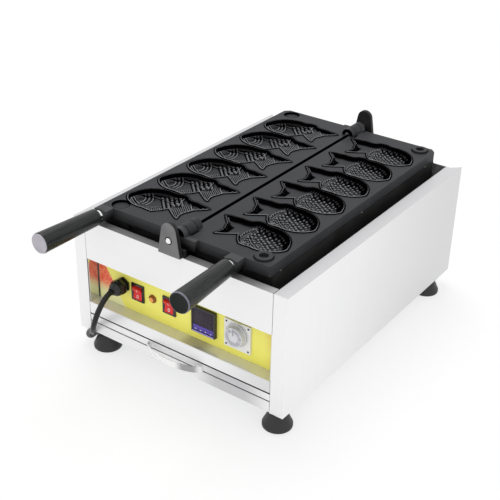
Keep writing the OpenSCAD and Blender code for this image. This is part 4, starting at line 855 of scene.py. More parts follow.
def body_outline():
    """The fish's body, which is hollowed deeper than its tail."""
    return np.vstack([
        [(72, 33), (84, 35)], curve_points(FISH_BACK), curve_points(FISH_BELLY), [(88, -36), (72, -19)],
    ])


def inside_distance(points, outline):
    """Signed distance of points to an outline, positive inside, and the way in from its edge."""
    a = outline
    b = np.roll(outline, -1, axis=0)
    best = np.full(len(points), 1e9)
    near = np.zeros_like(points)
    inside = np.zeros(len(points), bool)
    for p, q in zip(a, b):
        d = q - p
        t = np.clip(((points - p) @ d) / (d @ d), 0, 1)
        foot = p + t[:, None] * d
        dist = np.linalg.norm(points - foot, axis=1)
        closer = dist < best
        best[closer] = dist[closer]
        near[closer] = foot[closer]
        crosses = (p[1] > points[:, 1]) != (q[1] > points[:, 1])
        with np.errstate(divide="ignore", invalid="ignore"):
            at_x = p[0] + (points[:, 1] - p[1]) * d[0] / d[1]
        inside ^= crosses & (points[:, 0] < at_x)
    sign = np.where(inside, 1.0, -1.0)
    way = (points - near) / np.maximum(best, 1e-6)[:, None] * sign[:, None]
    return best * sign, way


def ramp(v, low, high):
    """0 up to low, 1 from high on, and smooth between."""
    t = np.clip((v - low) / (high - low), 0, 1)
    return t * t * (3 - 2 * t)


def falls(v, low, high):
    """1 up to low, 0 from high on, and smooth between."""
    return ramp(-v, -high, -low)


def ridge(v, width):
    """A rounded ridge where v is near zero."""
    return np.exp(-((v / width) ** 2))


def wave(v, period):
    """Runs from 0 to 1 and back once in each period."""
    return 0.5 + 0.5 * np.cos(v * 2 * math.pi / period)


def scatter(i, j):
    """A fixed number from 0 to 1 that looks random, one for each pair of whole numbers."""
    v = np.sin(i * 127.1 + j * 311.7) * 43758.5453
    return v - np.floor(v)


def scales(x, y, size, point=0.27):
    """Round knobs of uneven height that stand in staggered rows across the fish."""
    height = np.zeros_like(x)
    row_step = size * 0.55
    stray = size * 0.22
    row = np.round(x / row_step)
    for k in (-1, 0, 1):
        j = row + k
        shift = (j % 2) * size / 2
        i = np.round((y - shift) / size)
        knob_x = j * row_step + (scatter(i, j) - 0.5) * stray
        knob_y = i * size + shift + (scatter(j, i) - 0.5) * stray
        away_from = np.hypot(x - knob_x, y - knob_y)
        top = 0.55 + 0.45 * scatter(i + 7, j)
        height = np.maximum(height, top * ridge(away_from, size * point))
    return height


# Distances inwards from the fish's edge: the bead's outer foot and its top, the wall's top and its foot
BEAD_OUT, BEAD_IN = -3.3, -2.5
WALL_TOP, WALL_FOOT = 0.2, 2.0
# Height of the bead's foot, which lies just under the plate's top
BEAD_FOOT = -0.35
# Length of the teeth at the tail's free end, and their spacing
TOOTH, TOOTH_STEP = 3.4, 7.6
# Height of the hollow at distances inwards from the body's edge, with a steep wall and with a soft one
STEEP_HOLLOW = ((-2, 0, 4, 9, 16, 26), (-5.1, -5.2, -5.45, -9.9, -12.6, -13.1))
SOFT_HOLLOW = ((-3, 2, 6, 11, 18, 28), (-5.1, -5.25, -6.6, -10.6, -12.7, -13.1))
# The plate's solid is cut in steps, and the carved surface stays above them: the height of the
# shallow one, and the heights that start at distances inwards from the body's edge
SOLID_SHELF = -5.55
SOLID_STEPS = ((3.4, -10.55), (8.2, -13.55))


# Spacing of the left fish's bars, of the small knobs below them and of the fin's ribs
BAR_STEP, KNOB_STEP, RIB_STEP = 7.3, 4.6, 3.3
# Share of X and of Y along a line that slants by 45 degrees
SLANT = 0.7071
# Distance from the left fish's gill centre at which each band of the gill lies, and the band's width
GILL_BANDS = ((27.0, 1.5), (20.5, 1.7), (14.5, 1.4))


# In the carving functions d is how far a point lies inside the fish's edge, and db how far inside its body's
def carve_common(x, y, d, db, rim):
    """Bead round the fish, steep wall and bowl, shared by both plates' fish."""
    bead = BEAD_FOOT + (rim - BEAD_FOOT) * ramp(d, BEAD_OUT, BEAD_IN)
    # The tail's free end is jagged
    teeth = wave(x * 0.35 - y, TOOTH_STEP) * falls(x, 46, 52) * falls(np.abs(y), 20, 26)
    wall = ramp(d - TOOTH * teeth, WALL_TOP, WALL_FOOT)
    floor = np.maximum(np.interp(db, *STEEP_HOLLOW), np.interp(db, *SOFT_HOLLOW))
    return bead, wall, floor


def carve_right(x, y, d, db, cast):
    """The right plate's fish, covered with round scales."""
    bead, wall, floor = carve_common(x, y, d, db, cast.rim_height)
    k = cast.carving
    gill = np.hypot(x - 158, y + 2) - 21.5
    on_body = ramp(db, 2.5, 6.0)
    behind_gill = ramp(gill, 0.5, 2.5) * on_body
    tilt = math.radians(8)
    sx = x * math.cos(tilt) + y * math.sin(tilt)
    sy = -x * math.sin(tilt) + y * math.cos(tilt)
    knobs = ramp(x, 76, 83) * falls(x, 132, 146) * behind_gill
    upper = ramp(y + (x - 110) * 0.35, -22, -14)
    relief = 2.3 * k * scales(sx, sy, cast.scale_size) * knobs * upper
    # Towards the tail and the belly the knobs become a finer net
    net = knobs * falls(y + (x - 95) * 0.55, -2, 8)
    relief = np.maximum(relief, 1.7 * k * scales(sx, sy, cast.scale_size * 0.62, 0.25) * net)
    smile = np.hypot((x - 118) / 1.12, y - 14) - 45
    relief += 0.9 * k * ridge(smile, 2.0) * on_body * ramp(x, 122, 130)
    # Behind the body a scalloped collar, and below it a scalloped fin with one rib
    inside = ramp(d, 1.8, 3.2)
    collar = x - 71 - 0.012 * (y + 2) ** 2 + 1.1 * np.cos(y * 1.05)
    relief += 1.5 * k * ridge(collar, 1.2) * ramp(y, -26, -20) * falls(y, 18, 24) * inside
    relief += 1.3 * k * ridge(x - 86 - 0.25 * (y + 30), 1.1) * falls(y, -18, -14) * inside
    relief += 0.8 * k * np.cos(x * 1.3) * ramp(y, 26, 31) * ramp(x, 70, 76) * falls(x, 98, 104)
    return bead, wall, floor, relief


def carve_left(x, y, d, db, cast):
    """The left plate's fish, with a gill, slanted bars, small knobs and a ribbed fin."""
    bead, wall, floor = carve_common(x, y, d, db, cast.rim_height)
    k = cast.carving
    on_body = ramp(db, 2.5, 6.0)
    # Bars that slant across the middle, each a little uneven along its length
    stripes = (x - y) * SLANT
    along = (x + y) * SLANT
    band = ramp(stripes, 33, 36) * falls(stripes, 68, 71) * falls(y + 0.31 * x, 55, 61)
    band *= ramp(y + 0.55 * x, 41, 45) * ramp(d, 2, 4)
    bars = wave(stripes - 37.5, BAR_STEP) ** 0.8
    relief = 2.6 * k * bars * band * (0.75 + 0.25 * np.cos(along * 1.27))
    # Below the bars a patch of small knobs
    net = ramp(stripes, 69, 73) * falls(stripes, 95, 99) * ramp(along, 42, 46) * falls(along, 72, 76)
    relief += 1.9 * k * scales(x, y, KNOB_STEP, 0.26) * net * on_body
    # Three bands of the gill and a dark slash across the head
    from_gill = np.hypot(x - 152, y + 2)
    for radius, width in GILL_BANDS:
        relief += 0.8 * k * ridge(from_gill - radius, width) * on_body * ramp(y, -14, -8) * falls(y, 20, 26)
    slash = y - 8 + 0.55 * (x - 141)
    relief -= 1.5 * k * ridge(slash, 2.2) * ramp(x, 134, 138) * on_body
    relief += 1.3 * k * ridge(y + 13 - 0.25 * (x - 140), 1.3) * ramp(x, 134, 140) * on_body
    relief += 1.0 * k * ridge(y + 20 - 0.4 * (x - 140), 1.2) * ramp(x, 134, 140) * on_body
    back = np.hypot(x - 112, y + 30) - 50
    relief += 0.8 * k * ridge(back, 1.2) * on_body * falls(x, 128, 134)
    # The body ends in a ridge, and the tail's lower half is a fan of fine ribs
    rear = ridge(x - 74 - 0.35 * (y - 20), 1.3) * ramp(y, 2, 8) * ramp(d, 1.8, 3.0)
    relief += 1.5 * k * rear
    fin = falls(x + 0.3 * y, 64, 68) * ramp(d, 1.4, 2.6) * ramp(x - y, 33, 37)
    relief += 1.15 * k * (2 * wave(0.63 * x - 0.77 * y, RIB_STEP) - 1) * fin
    relief += 1.2 * k * ridge(x - y - 33, 1.2) * falls(x, 60, 66) * ramp(d, 1.6, 3.0)
    return bead, wall, floor, relief


def carved_height(points, outline, body, carve, cast):
    """Height of the carved surface over the plate's top, and the distance to the fish's edge."""
    d, _ = inside_distance(points, outline)
    db, _ = inside_distance(points, body)
    bead, wall, floor, relief = carve(points[:, 0], points[:, 1], d, db, cast)
    stepped = np.full(len(db), SOLID_SHELF)
    for start, depth in SOLID_STEPS:
        stepped[db > start] = depth
    inner = np.maximum(floor + relief, stepped)
    return bead + (inner - bead) * wall, d


# Corners of the grid that holds one fish, and how far past the fish's edge it is kept
GRID_LOW, GRID_HIGH = np.array([11.5, -46.5]), np.array([163.5, 42.5])
GRID_MARGIN = 4.2
# Radius of the points whose mean height tells hollows from ridges, and the height over that mean
# at which a ridge is as light as it gets
HOLLOW_REACH = 1.5
FULL_RIDGE = 0.34


def fish_pattern(carve, cast, side):
    """Points, heights and painted light and shade of one carved fish on a grid trimmed to the fish and its bead.
    """
    step = cast.grid_step
    cells = [round(v / step) for v in GRID_HIGH - GRID_LOW]
    across, along = (np.linspace(GRID_LOW[i], GRID_HIGH[i], cells[i] + 1) for i in (0, 1))
    grid = np.stack(np.meshgrid(across, along), -1).reshape(-1, 2)
    outline, body = fish_outline(), body_outline()
    d, way = inside_distance(grid, outline)
    keep = d > -GRID_MARGIN
    flat = grid.copy()
    # Points near the bead's top and near the wall's top are moved onto them
    for level in (BEAD_IN, WALL_TOP):
        close = np.abs(d - level) < step * 0.5
        flat[close] += way[close] * (level - d[close])[:, None]
    height, d = carved_height(flat, outline, body, carve, cast)
    round_about = []
    for a in np.linspace(0, 2 * math.pi, 8, endpoint=False):
        way_out = HOLLOW_REACH * np.array([math.cos(a), math.sin(a)])
        round_about.append(carved_height(flat + way_out, outline, body, carve, cast)[0])
    # Painted light and shade: hollows darker and ridges lighter, slopes that face the front darker and slopes
    # that face the back lighter
    hollow = (height - np.mean(round_about, axis=0)) / FULL_RIDGE
    rise = (round_about[2] - round_about[6]) / (2 * HOLLOW_REACH)
    painted_shading = np.clip(hollow, -1, 1) * 0.85 - 0.35 * np.clip(rise, 0, 1.2) + 0.2 * np.clip(-rise, 0, 1)
    # Deep shade under the back edge, a soft shade towards the nose
    back_shade = 0.75 if side > 0 else 0.3
    x, y = flat.T
    painted_shading -= back_shade * falls(way[:, 1], -0.7, -0.15) * falls(d, 4, 13)
    painted_shading -= 0.35 * ramp(x * 0.5 + y, 62, 90)
    painted_shading = np.where(d > 0, painted_shading, np.clip(painted_shading, -0.15, 0.15))
    # Black painted shade on the wall and at the foot of the bead, and a thin painted highlight between them,
    # brighter where it faces the light
    facing = ramp(way @ np.array([-0.7 * side, 0.7]), -0.2, 0.7)
    painted_shading -= 1.2 * ridge(d - 1.4, 1.2) * (1.2 - 0.7 * facing) + 1.6 * falls(d, -1.5, -1.0)
    painted_shading += (0.2 + 0.6 * facing) * ridge(d + 0.5, 0.5)
    if side > 0:
        # The tail's lower corner and the nose are smooth and get black painted shade
        inward = ramp(d, 1, 2)
        painted_shading -= 1.2 * falls(x, 45, 50) * falls(y, 2, 8) * inward
        painted_shading -= 0.5 * ramp(x, 138, 145) * inward
    return cells, keep, flat, height, painted_shading


# Depth of the carved pieces' closed undersides below the plate's top
CARVING_DEPTH = 15.5


def fish_relief(bm, side, centre_y, pattern):
    """One carved fish, closed below, that carries its painted light and shade as an attribute."""
    cells, keep, flat, height, painted_shading = pattern
    layer = bm.verts.layers.float["painted_shading"]
    wide = cells[0] + 1
    # The bead stops this far short of the locating rings and of the recesses that take them
    clearance = 0.7
    x, y = flat.T
    for end in (-1, 1):
        ring_y = PLATES_MIDDLE_Y + end * RING_Y - centre_y
        keep = keep & (np.hypot(x - RING_X, y - ring_y) > RING_R + clearance)
    made = [
        bm.verts.new((side * x, y + centre_y, PLATE_TOP + h)) if k else None
        for k, (x, y), h in zip(keep, flat, height)
    ]
    for v, t in zip(made, painted_shading):
        if v is not None:
            v[layer] = t
    for j in range(cells[1]):
        for i in range(cells[0]):
            k = j * wide + i
            corners = (made[k], made[k + 1], made[k + 1 + wide], made[k + wide])
            if None not in corners:
                bm.faces.new(corners)
    verts = [v for v in made if v is not None]
    loose = [v for v in verts if not v.link_faces]
    bmesh.ops.delete(bm, geom=loose, context="VERTS")
    verts = [v for v in verts if v.is_valid]
    rim = [e for e in {e for v in verts for e in v.link_edges} if len(e.link_faces) == 1]
    out = bmesh.ops.extrude_edge_only(bm, edges=rim)
    for g in out["geom"]:
        if isinstance(g, bmesh.types.BMVert):
            g.co.z = PLATE_TOP - CARVING_DEPTH
    bottom = [g for g in out["geom"] if isinstance(g, bmesh.types.BMEdge)]
    bmesh.ops.edgeloop_fill(bm, edges=[e for e in bottom if len(e.link_faces) == 1])


class WAFFLE_OT_fish(bpy.types.Operator):
    """Carves the fish of both baking plates"""

    bl_idname = "waffle.fish"
    bl_label = "Carved fish"

    def execute(self, context):
        cast = settings().waffle_casting
        for name, side, carve, body in (
            ("left_fish_carving", -1, carve_left, "left_plate"),
            ("right_fish_carving", 1, carve_right, "right_plate"),
        ):
            pattern = fish_pattern(carve, cast, side)
            bm = bmesh.new()
            # An attribute that holds the painted light and shade
            bm.verts.layers.float.new("painted_shading")
            for i in range(FISH_COUNT):
                fish_relief(bm, side, (i - (FISH_COUNT - 1) / 2) * FISH_PITCH, pattern)
            add_piece(name, bm, FINISH["plate_coating"], body, smooth_angle=60)
        return {"FINISHED"}


# Mains lead
# The lead's way down from the gland and back beside the casing's floor, as in the part's source
LEAD_FRONT = [
    (-129, -300, 135), (-128.2, -310, 132.7),
    (-127.5, -319.3, 128.4), (-127.2, -327.4, 122), (-127.7, -333.8, 114), (-129, -338.3, 104.8),
    (-131.2, -340.5, 95), (-134.5, -340.6, 85.2), (-138.6, -338.4, 76.1), (-143, -333.9, 67.9),
    (-147.8, -327.7, 61.2), (-154, -321.1, 56.3), (-161.3, -315.3, 52), (-169.4, -311, 47.2),
    (-177.2, -307.9, 41.2), (-183.4, -305, 33.6), (-188.1, -300.6, 25.5), (-191.9, -294.2, 18.4),
    (-195.6, -286.2, 13), (-199.3, -277.2, 9.7), (-201.8, -267.3, 7.9), (-203, -257.2, 6.8),
    (-203.2, -246.9, 6.1), (-202.9, -236.6, 5.7), (-202.3, -226.2, 5.4), (-201.8, -215.9, 5.2),
    (-201.4, -205.6, 5.1), (-201.1, -195.3, 5), (-201, -185, 5),
]
LEAD_BACK = [(-201, 290, 5), (-201, 320, 5), (-201, 354, 5)]
# Mean radius of the coil's turns, their spacing, the straight end after them, and points in a turn
COIL_R = 50
COIL_STEP = 10.4
COIL_TAIL = 44.0
COIL_RINGS = 24


def lead_points(lead):
    """The lead's route from the gland to the plug, with the coil behind the casing."""
    under = [(-201, y, 5) for y in range(-160, 261, 30)]
    start = Vector(LEAD_BACK[-1])
    outer = COIL_R + COIL_STEP * lead.turns_in / 2
    centre = Vector((start.x + outer, start.y + lead.diameter))
    lift = lead.diameter + 0.5
    turns = lead.turns_in + lead.turns_out
    coil = []
    for i in range(round(turns * COIL_RINGS) + 1):
        turn = i / COIL_RINGS
        inwards = min(turn, lead.turns_in)
        outwards = max(turn - lead.turns_in, 0)
        r = outer - COIL_STEP * inwards + COIL_STEP * outwards
        a = math.radians(180 - 360 * turn)
        climb = min(max((turn - lead.turns_in + 0.25) * 2, 0), 1)
        z = start.z + lift * (3 - 2 * climb) * climb * climb
        coil.append((centre.x + r * math.cos(a), centre.y + r * math.sin(a), z))
    last = Vector(coil[-1])
    tail = [last + Vector((x, 0, 0)) for x in (lead.diameter, COIL_TAIL / 2, COIL_TAIL)]
    route = [Vector(p) for p in LEAD_FRONT + under + LEAD_BACK + coil]
    return route + tail, centre, lift


class WAFFLE_OT_lead(bpy.types.Operator):
    """Lays the mains lead with its coil, tie and plug"""

    bl_idname = "waffle.lead"
    bl_label = "Mains lead"

    def execute(self, context):
        lead = settings().waffle_lead
        route, centre, lift = lead_points(lead)
        points = [PLACE @ p for p in route]
        curve = bpy.data.curves.new("mains_lead", "CURVE")
        curve.dimensions = "3D"
        curve.bevel_depth = lead.diameter / 2 * MM
        curve.bevel_resolution = lead.sides
        curve.use_fill_caps = True
        curve.resolution_u = 4
        spline = curve.splines.new("BEZIER")
        spline.bezier_points.add(len(points) - 1)
        for dot, p in zip(spline.bezier_points, points):
            dot.co = p
            dot.handle_left_type = dot.handle_right_type = "AUTO"
        obj = new_object("mains_lead", curve)
        curve.materials.append(FINISH["lead_jacket"])
        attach(obj, "casing")
        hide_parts("power_cord", "cord_coil")
        plug = self.plug(route[-1])
        tie = self.tie(centre, lift, lead)
        return {"FINISHED"}

    def plug(self, start):
        """Moulded plug with a ribbed sleeve, a round body and a flat nose."""
        bm = bmesh.new()
        nose = start.z - 0.3
        profile = [(4.8, 0), (5.6, 0.3), (5.9, 1.4)]
        for i in range(5):
            h = 2.6 + i * 2.4
            groove, rib = 5.3 + i * 0.3, 6.3 + i * 0.3
            profile += [(groove, h), (rib, h + 0.4), (rib, h + 1.5), (groove, h + 1.9)]
        profile += [(7.6, 15.5), (9.6, 19.5), (nose - 1, 24), (nose - 0.1, 27), (nose - 0.1, 43.8)]
        profile += [(nose - 0.7, 45.2), (nose - 2.2, 46), (0, 46)]
        turned(bm, [(0, 0)] + profile, at(*start) @ Matrix.Rotation(math.radians(90), 4, "Y"), 56)
        for k in (-1, 1):
            grip = start + Vector((34, k * (nose - 1.2), 0))
            half = Vector((7, 1, 5))
            bar(bm, grip - half, grip + half, 0.7)
        return add_piece("mains_plug", bm, FINISH["plug_plastic"], "casing", ("plug_body",))

    def tie(self, centre, lift, lead):
        """A soft strap round all the coil's turns."""
        bm = bmesh.new()
        inner, outer, width, corner = 36.4, 61.0, 11.0, 3.0
        foot = 0.15 + corner
        top = 5.0 + lift + lead.diameter / 2 + 0.7 - corner
        outline = []
        right, left = outer - corner, inner + corner
        for x, z, first in ((right, foot, -90), (right, top, 0), (left, top, 90), (left, foot, 180)):
            for i in range(6):
                a = math.radians(first + 18 * i)
                outline.append((x + corner * math.cos(a), z + corner * math.sin(a)))
        verts = [bm.verts.new((x, -width / 2, z)) for x, z in outline]
        edges = [bm.edges.new((a, b)) for a, b in zip(verts, verts[1:] + verts[:1])]
        out = bmesh.ops.extrude_edge_only(bm, edges=edges)
        moved = [g for g in out["geom"] if isinstance(g, bmesh.types.BMVert)]
        bmesh.ops.translate(bm, vec=(0, width, 0), verts=moved)
        bmesh.ops.recalc_face_normals(bm, faces=bm.faces)
        bmesh.ops.solidify(bm, geom=bm.faces[:], thickness=0.9)
        place = at(centre.x, centre.y, 0) @ Matrix.Rotation(math.radians(-50), 4, "Z")
        bmesh.ops.transform(bm, matrix=place, verts=bm.verts)
        bmesh.ops.bevel(
            bm, geom=[e for e in bm.edges if e.calc_face_angle(0) > 1.0], offset=0.25, offset_type="OFFSET",
            segments=1, profile=0.5, affect="EDGES", material=-1, clamp_overlap=True,
        )
        return add_piece("lead_tie", bm, FINISH["foot_rubber"], "casing")


# Handles and feet
def handle_place(x, splay):
    """Where a handle starts, with its own Z axis running forwards and a little outwards."""
    return at(x, -288, 266) @ Matrix.Rotation(math.radians(splay), 4, "Z") @ NOD


class WAFFLE_OT_handles(bpy.types.Operator):
    """Turns the two grips and their end caps"""

    bl_idname = "waffle.handles"
    bl_label = "Handles"

    def execute(self, context):
        grip = [
            (5.6, 9.0), (11.6, 9.0), (12.9, 9.25), (13.8, 9.9), (14.2, 11.2), (14.35, 14.5),
            (15.7, 67.5), (17.25, 124.0), (17.3, 125.6), (17.1, 126.6), (16.6, 127.1), (15.9, 127.2),
            (5.6, 126.9),
        ]
        cap = [
            (0, 126.0), (16.1, 126.0), (16.3, 127.6), (16.3, 129.0), (15.9, 129.7), (15.0, 130.0),
            (13.6, 129.7), (9.0, 129.35), (0, 129.2),
        ]
        rim = [(15.9, 126.6), (17.0, 126.6), (17.35, 127.4), (17.2, 128.9), (16.6, 129.6), (16.1, 129.8)]
        for side, x, splay, cap_finish, cap_slot in (
            ("left", -155.5, -3, "cap_plastic", "cap_grey"),
            ("right", 108.5, 3, "cap_dark", "grip_black"),
        ):
            body = f"{side}_plate"
            bm = bmesh.new()
            turned(bm, grip, handle_place(x, splay), 72)
            add_piece(f"{side}_grip_body", bm, FINISH["grip_plastic"], body, (f"{side}_grip",))
            bm = bmesh.new()
            turned(bm, cap, handle_place(x, splay), 72)
            add_piece(f"{side}_grip_end", bm, FINISH[cap_finish], body, (f"{side}_grip_cap",))
            # The right grip's end gets a real rim, coloured lighter as a painted highlight on its edge
            if side == "right":
                bm = bmesh.new()
                turned(bm, rim, handle_place(x, splay), 72)
                add_piece("right_grip_highlight_rim", bm, FINISH["cap_edge"], body)
        return {"FINISHED"}


class WAFFLE_OT_feet(bpy.types.Operator):
    """Turns the four rubber feet"""

    bl_idname = "waffle.feet"
    bl_label = "Feet"

    def execute(self, context):
        low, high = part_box("rubber_feet")
        radius = 25
        xs = (low.x / MM + radius, high.x / MM - radius)
        ys = ((low.y - MIDDLE_Y) / MM + radius, (high.y - MIDDLE_Y) / MM - radius)
        foot = [
            (7.5, 0.1), (8.2, 0.0), (22.6, 0.0), (24.0, 0.4), (24.8, 1.3), (25.0, 2.4), (25.0, 6.2),
            (24.5, 7.4), (22.0, 12.2), (19.4, 18.0), (17.2, 23.6), (16.0, 27.2), (15.2, 28.0), (3.3, 28.0),
            (3.3, 16.2), (7.5, 16.0),
        ]
        bm = bmesh.new()
        for x in xs:
            for y in ys:
                turned(bm, foot, at(x, y, 0), 64)
        add_piece("rubber_foot_cones", bm, FINISH["foot_rubber"], "casing", ("rubber_feet",))
        return {"FINISHED"}


# Controls
def ring_shape(bm, r_in, r_out, depth, place, count=40):
    """A flat ring that stands up from the place's own zero."""
    profile = [(r_in, 0), (r_out, 0), (r_out, depth), (r_in, depth)]
    return turned(bm, profile, place, count)


def flute(verts, place, count, share, inner, outer, foot):
    """Draws a turned shape in along even flutes, between two radii and above a height."""
    inverse = place.inverted()
    for v in verts:
        p = inverse @ v.co
        if inner < math.hypot(p.x, p.y) < outer and p.z > foot:
            k = 1 - share * (0.5 + 0.5 * math.cos(count * math.atan2(p.y, p.x)))
            v.co = place @ Vector((p.x * k, p.y * k, p.z))


class WAFFLE_OT_gland(bpy.types.Operator):
    """Makes the cable gland with its ribbed clamping nut"""

    bl_idname = "waffle.gland"
    bl_label = "Cable gland"

    def execute(self, context):
        base = at(GLAND_X, FILM_Y, GLAND_Z) @ NOD
        bm = bmesh.new()
        plate_shape(bm, circle_outline(14.5, 6, math.radians(30)), 4.0, base, 0.9, 2)
        thread = [(4.95, -16), (9.0, -16), (9.0, 0.2), (9.0, 3.0), (10.5, 3.4), (10.5, 8.0), (4.95, 8.0)]
        turned(bm, thread, base, 48)
        add_piece("gland_base", bm, FINISH["black_plastic"], "casing", ("gland_body",))
        bm = bmesh.new()
        plate_shape(bm, circle_outline(15.5, 6, math.radians(30)), 9.9, base @ at(0, 0, 8.1), 1.1, 2)
        dome = [
            (4.95, 17.6), (12.4, 17.6), (12.9, 18.4), (12.7, 20.4), (11.6, 23.4), (9.9, 26.4), (8.5, 28.2),
            (7.4, 29.6), (6.9, 31.6), (6.2, 31.7), (4.95, 31.7),
        ]
        turned(bm, dome, base, 48)
        for i in range(12):
            turn = Matrix.Rotation(math.radians(30 * i + 15), 4, "Z")
            bar(bm, (11.2, -0.75, 18.0), (13.3, 0.75, 22.6), 0.5, 2, base @ turn)
        add_piece("gland_clamp", bm, FINISH["black_plastic"], "casing", ("gland_nut",))
        return {"FINISHED"}


# Corners of the seven strokes of an unlit digit, as shares of its width and height
SEGMENTS = {
    "top": ((-0.32, 0.46), (0.32, 0.54)), "middle": ((-0.32, -0.04), (0.32, 0.04)),
    "bottom": ((-0.32, -0.54), (0.32, -0.46)),
    "top_left": ((-0.42, 0.06), (-0.34, 0.44)), "top_right": ((0.34, 0.06), (0.42, 0.44)),
    "low_left": ((-0.42, -0.44), (-0.34, -0.06)), "low_right": ((0.34, -0.44), (0.42, -0.06)),
}


class WAFFLE_OT_controller(bpy.types.Operator):
    """Makes the temperature controller's window, unlit digits, violet strip and key marks"""

    bl_idname = "waffle.controller"
    bl_label = "Temperature controller"

    def execute(self, context):
        x0, face = CONTROLLER_X, FILM_Y - 4.7
        bm = bmesh.new()
        bar(bm, (x0 - 20.9, face - 0.25, ROW_Z - 9.9), (x0 + 20.9, face + 0.4, ROW_Z + 20.9), 0.2)
        add_piece("controller_window", bm, FINISH["display_glass"], "casing")
        bm = bmesh.new()
        upper_digits = (ROW_Z + 11.2, 10.5, (-8.5, 0.2, 8.9, 16.0))
        lower_digits = (ROW_Z - 3.2, 8.0, (-6.5, 0.6, 7.7, 14.8))
        for z, height, xs in (upper_digits, lower_digits):
            for dx in xs:
                for (ax, az), (bx, bz) in SEGMENTS.values():
                    k = height * 0.62
                    cx = x0 - 2.2 + dx
                    low = (cx + ax * k, face - 0.4, z + az * height)
                    bar(bm, low, (cx + bx * k, face - 0.15, z + bz * height))
        for z in (ROW_Z + 14.5, ROW_Z + 2.5, ROW_Z - 0.8, ROW_Z - 4.1):
            turned(bm, [(0, 0), (0.75, 0), (0.6, 0.25), (0, 0.3)], at(x0 - 16.6, face - 0.2, z) @ NOD, 16)
        add_piece("controller_digits", bm, FINISH["digit_grey"], "casing")
        bm = bmesh.new()
        bar(bm, (x0 - 20.9, face - 0.2, ROW_Z - 15.0), (x0 + 20.9, face + 0.3, ROW_Z - 10.2), 0.1)
        for k in (-20.9, -11.2, -1.2, 8.8, 18.8):
            bar(bm, (x0 + k, face - 0.2, ROW_Z - 20.2), (x0 + k + 2.1, face + 0.3, ROW_Z - 14.8), 0.1)
        add_piece("controller_strip", bm, FINISH["violet_strip"], "casing")
        bm = bmesh.new()
        bar(bm, (x0 - 21.6, face - 1.75, ROW_Z - 22.8), (x0 + 21.6, face - 1.2, ROW_Z - 20.9), 0.15)
        add_piece("controller_line", bm, FINISH["violet_line"], "casing")
        for i, key in enumerate(("set_key", "shift_key", "down_key", "up_key")):
            low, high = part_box(key)
            # A ring marks the first key, and arrows the others
            cx, cz = (low.x + high.x) / 2 / MM, (low.z + high.z) / 2 / MM
            y = (low.y - MIDDLE_Y) / MM
            bm = bmesh.new()
            place = at(cx, y + 0.05, cz) @ NOD
            if i == 0:
                ring_shape(bm, 0.75, 1.15, 0.15, place, 24)
            else:
                turn = {1: 90, 2: 180, 3: 0}[i]
                tip = [(-1.2, -0.8), (1.2, -0.8), (0, 1.1)]
                plate_shape(bm, tip, 0.15, place @ Matrix.Rotation(math.radians(turn), 4, "Z"))
            add_piece(f"{key}_mark", bm, FINISH["white_mark"], key)
        return {"FINISHED"}


def face_text(bm, word, size, place, depth=0.12):
    """Generic numerals pushed out of a flat face; place's own Z points out of the face."""
    curve = bpy.data.curves.new("numeral", "FONT")
    curve.body = word
    curve.size = size
    curve.align_x = "CENTER"
    curve.align_y = "CENTER"
    curve.extrude = depth
    curve.resolution_u = 3
    holder = new_object("numeral", curve)
    graph = bpy.context.evaluated_depsgraph_get()
    mesh = bpy.data.meshes.new_from_object(holder.evaluated_get(graph))
    mesh.transform(place)
    bm.from_mesh(mesh)
    bpy.data.objects.remove(holder)
    bpy.data.curves.remove(curve)
    bpy.data.meshes.remove(mesh)


class WAFFLE_OT_timer(bpy.types.Operator):
    """Makes the timer's dial with its flutes and numerals, and the plate's scale and screws"""

    bl_idname = "waffle.timer"
    bl_label = "Timer"

    def execute(self, context):
        x0, z0 = TIMER_X, ROW_Z + 3.5
        flange = FILM_Y - 4.0
        ring = flange - 1.0
        bm = bmesh.new()
        for dx in (-21.3, 21.3):
            for dz in (-21.3, 21.3):
                head = at(x0 + dx, flange + 0.05, ROW_Z + dz) @ NOD
                turned(bm, [(0, 0), (1.9, 0), (1.7, 0.35), (0, 0.5)], head, 24)
        for i in range(31):
            turn = Matrix.Rotation(math.radians(30 + i * 10), 4, "Z")
            inner = 20.6 if i % 5 else 20.2
            bar(bm, (-0.22, inner, -0.05), (0.22, 21.7, 0.12), 0.0, 1, at(x0, ring, z0) @ NOD @ turn)
        add_piece("timer_scale", bm, FINISH["dark_mark"], "casing")
        back = ring - 0.3
        bm = bmesh.new()
        skirt = [
            (0, 0), (19.4, 0), (19.9, 0.4), (20.0, 1.2), (19.9, 2.0), (18.6, 3.2), (17.3, 9.0), (16.8, 9.8),
            (16.2, 10.0), (15.4, 9.9), (14.2, 7.2), (13.2, 6.1), (9.2, 5.9), (8.95, 6.2), (8.9, 9.4),
            (8.5, 9.9), (0, 10.0),
        ]
        place = at(x0, back, z0) @ NOD
        flute(turned(bm, skirt, place, 120), place, 30, 0.022, 16.0, 19.7, 2.2)
        turned(bm, [(0, -12), (3.0, -12), (3.0, 0.5), (0, 0.5)], place, 24)
        bar(bm, (-1.1, 2.0, 9.6), (1.1, 15.6, 10.9), 0.5, 2, place)
        add_piece("timer_knob", bm, FINISH["dial_clear"], "timer_dial", ("timer_dial",))
        bm = bmesh.new()
        bar(bm, (-0.35, 4.0, 10.85), (0.35, 15.0, 11.05), 0.0, 1, place)
        for i in range(1, 7):
            a = math.radians(90 - i * 50)
            upright = Matrix.Rotation(a - math.radians(90), 4, "Z")
            spot = place @ at(11.2 * math.cos(a), 11.2 * math.sin(a), 6.1) @ upright
            face_text(bm, str(i * 5), 3.0, spot)
        add_piece("timer_numerals", bm, FINISH["dark_mark"], "timer_dial")
        return {"FINISHED"}


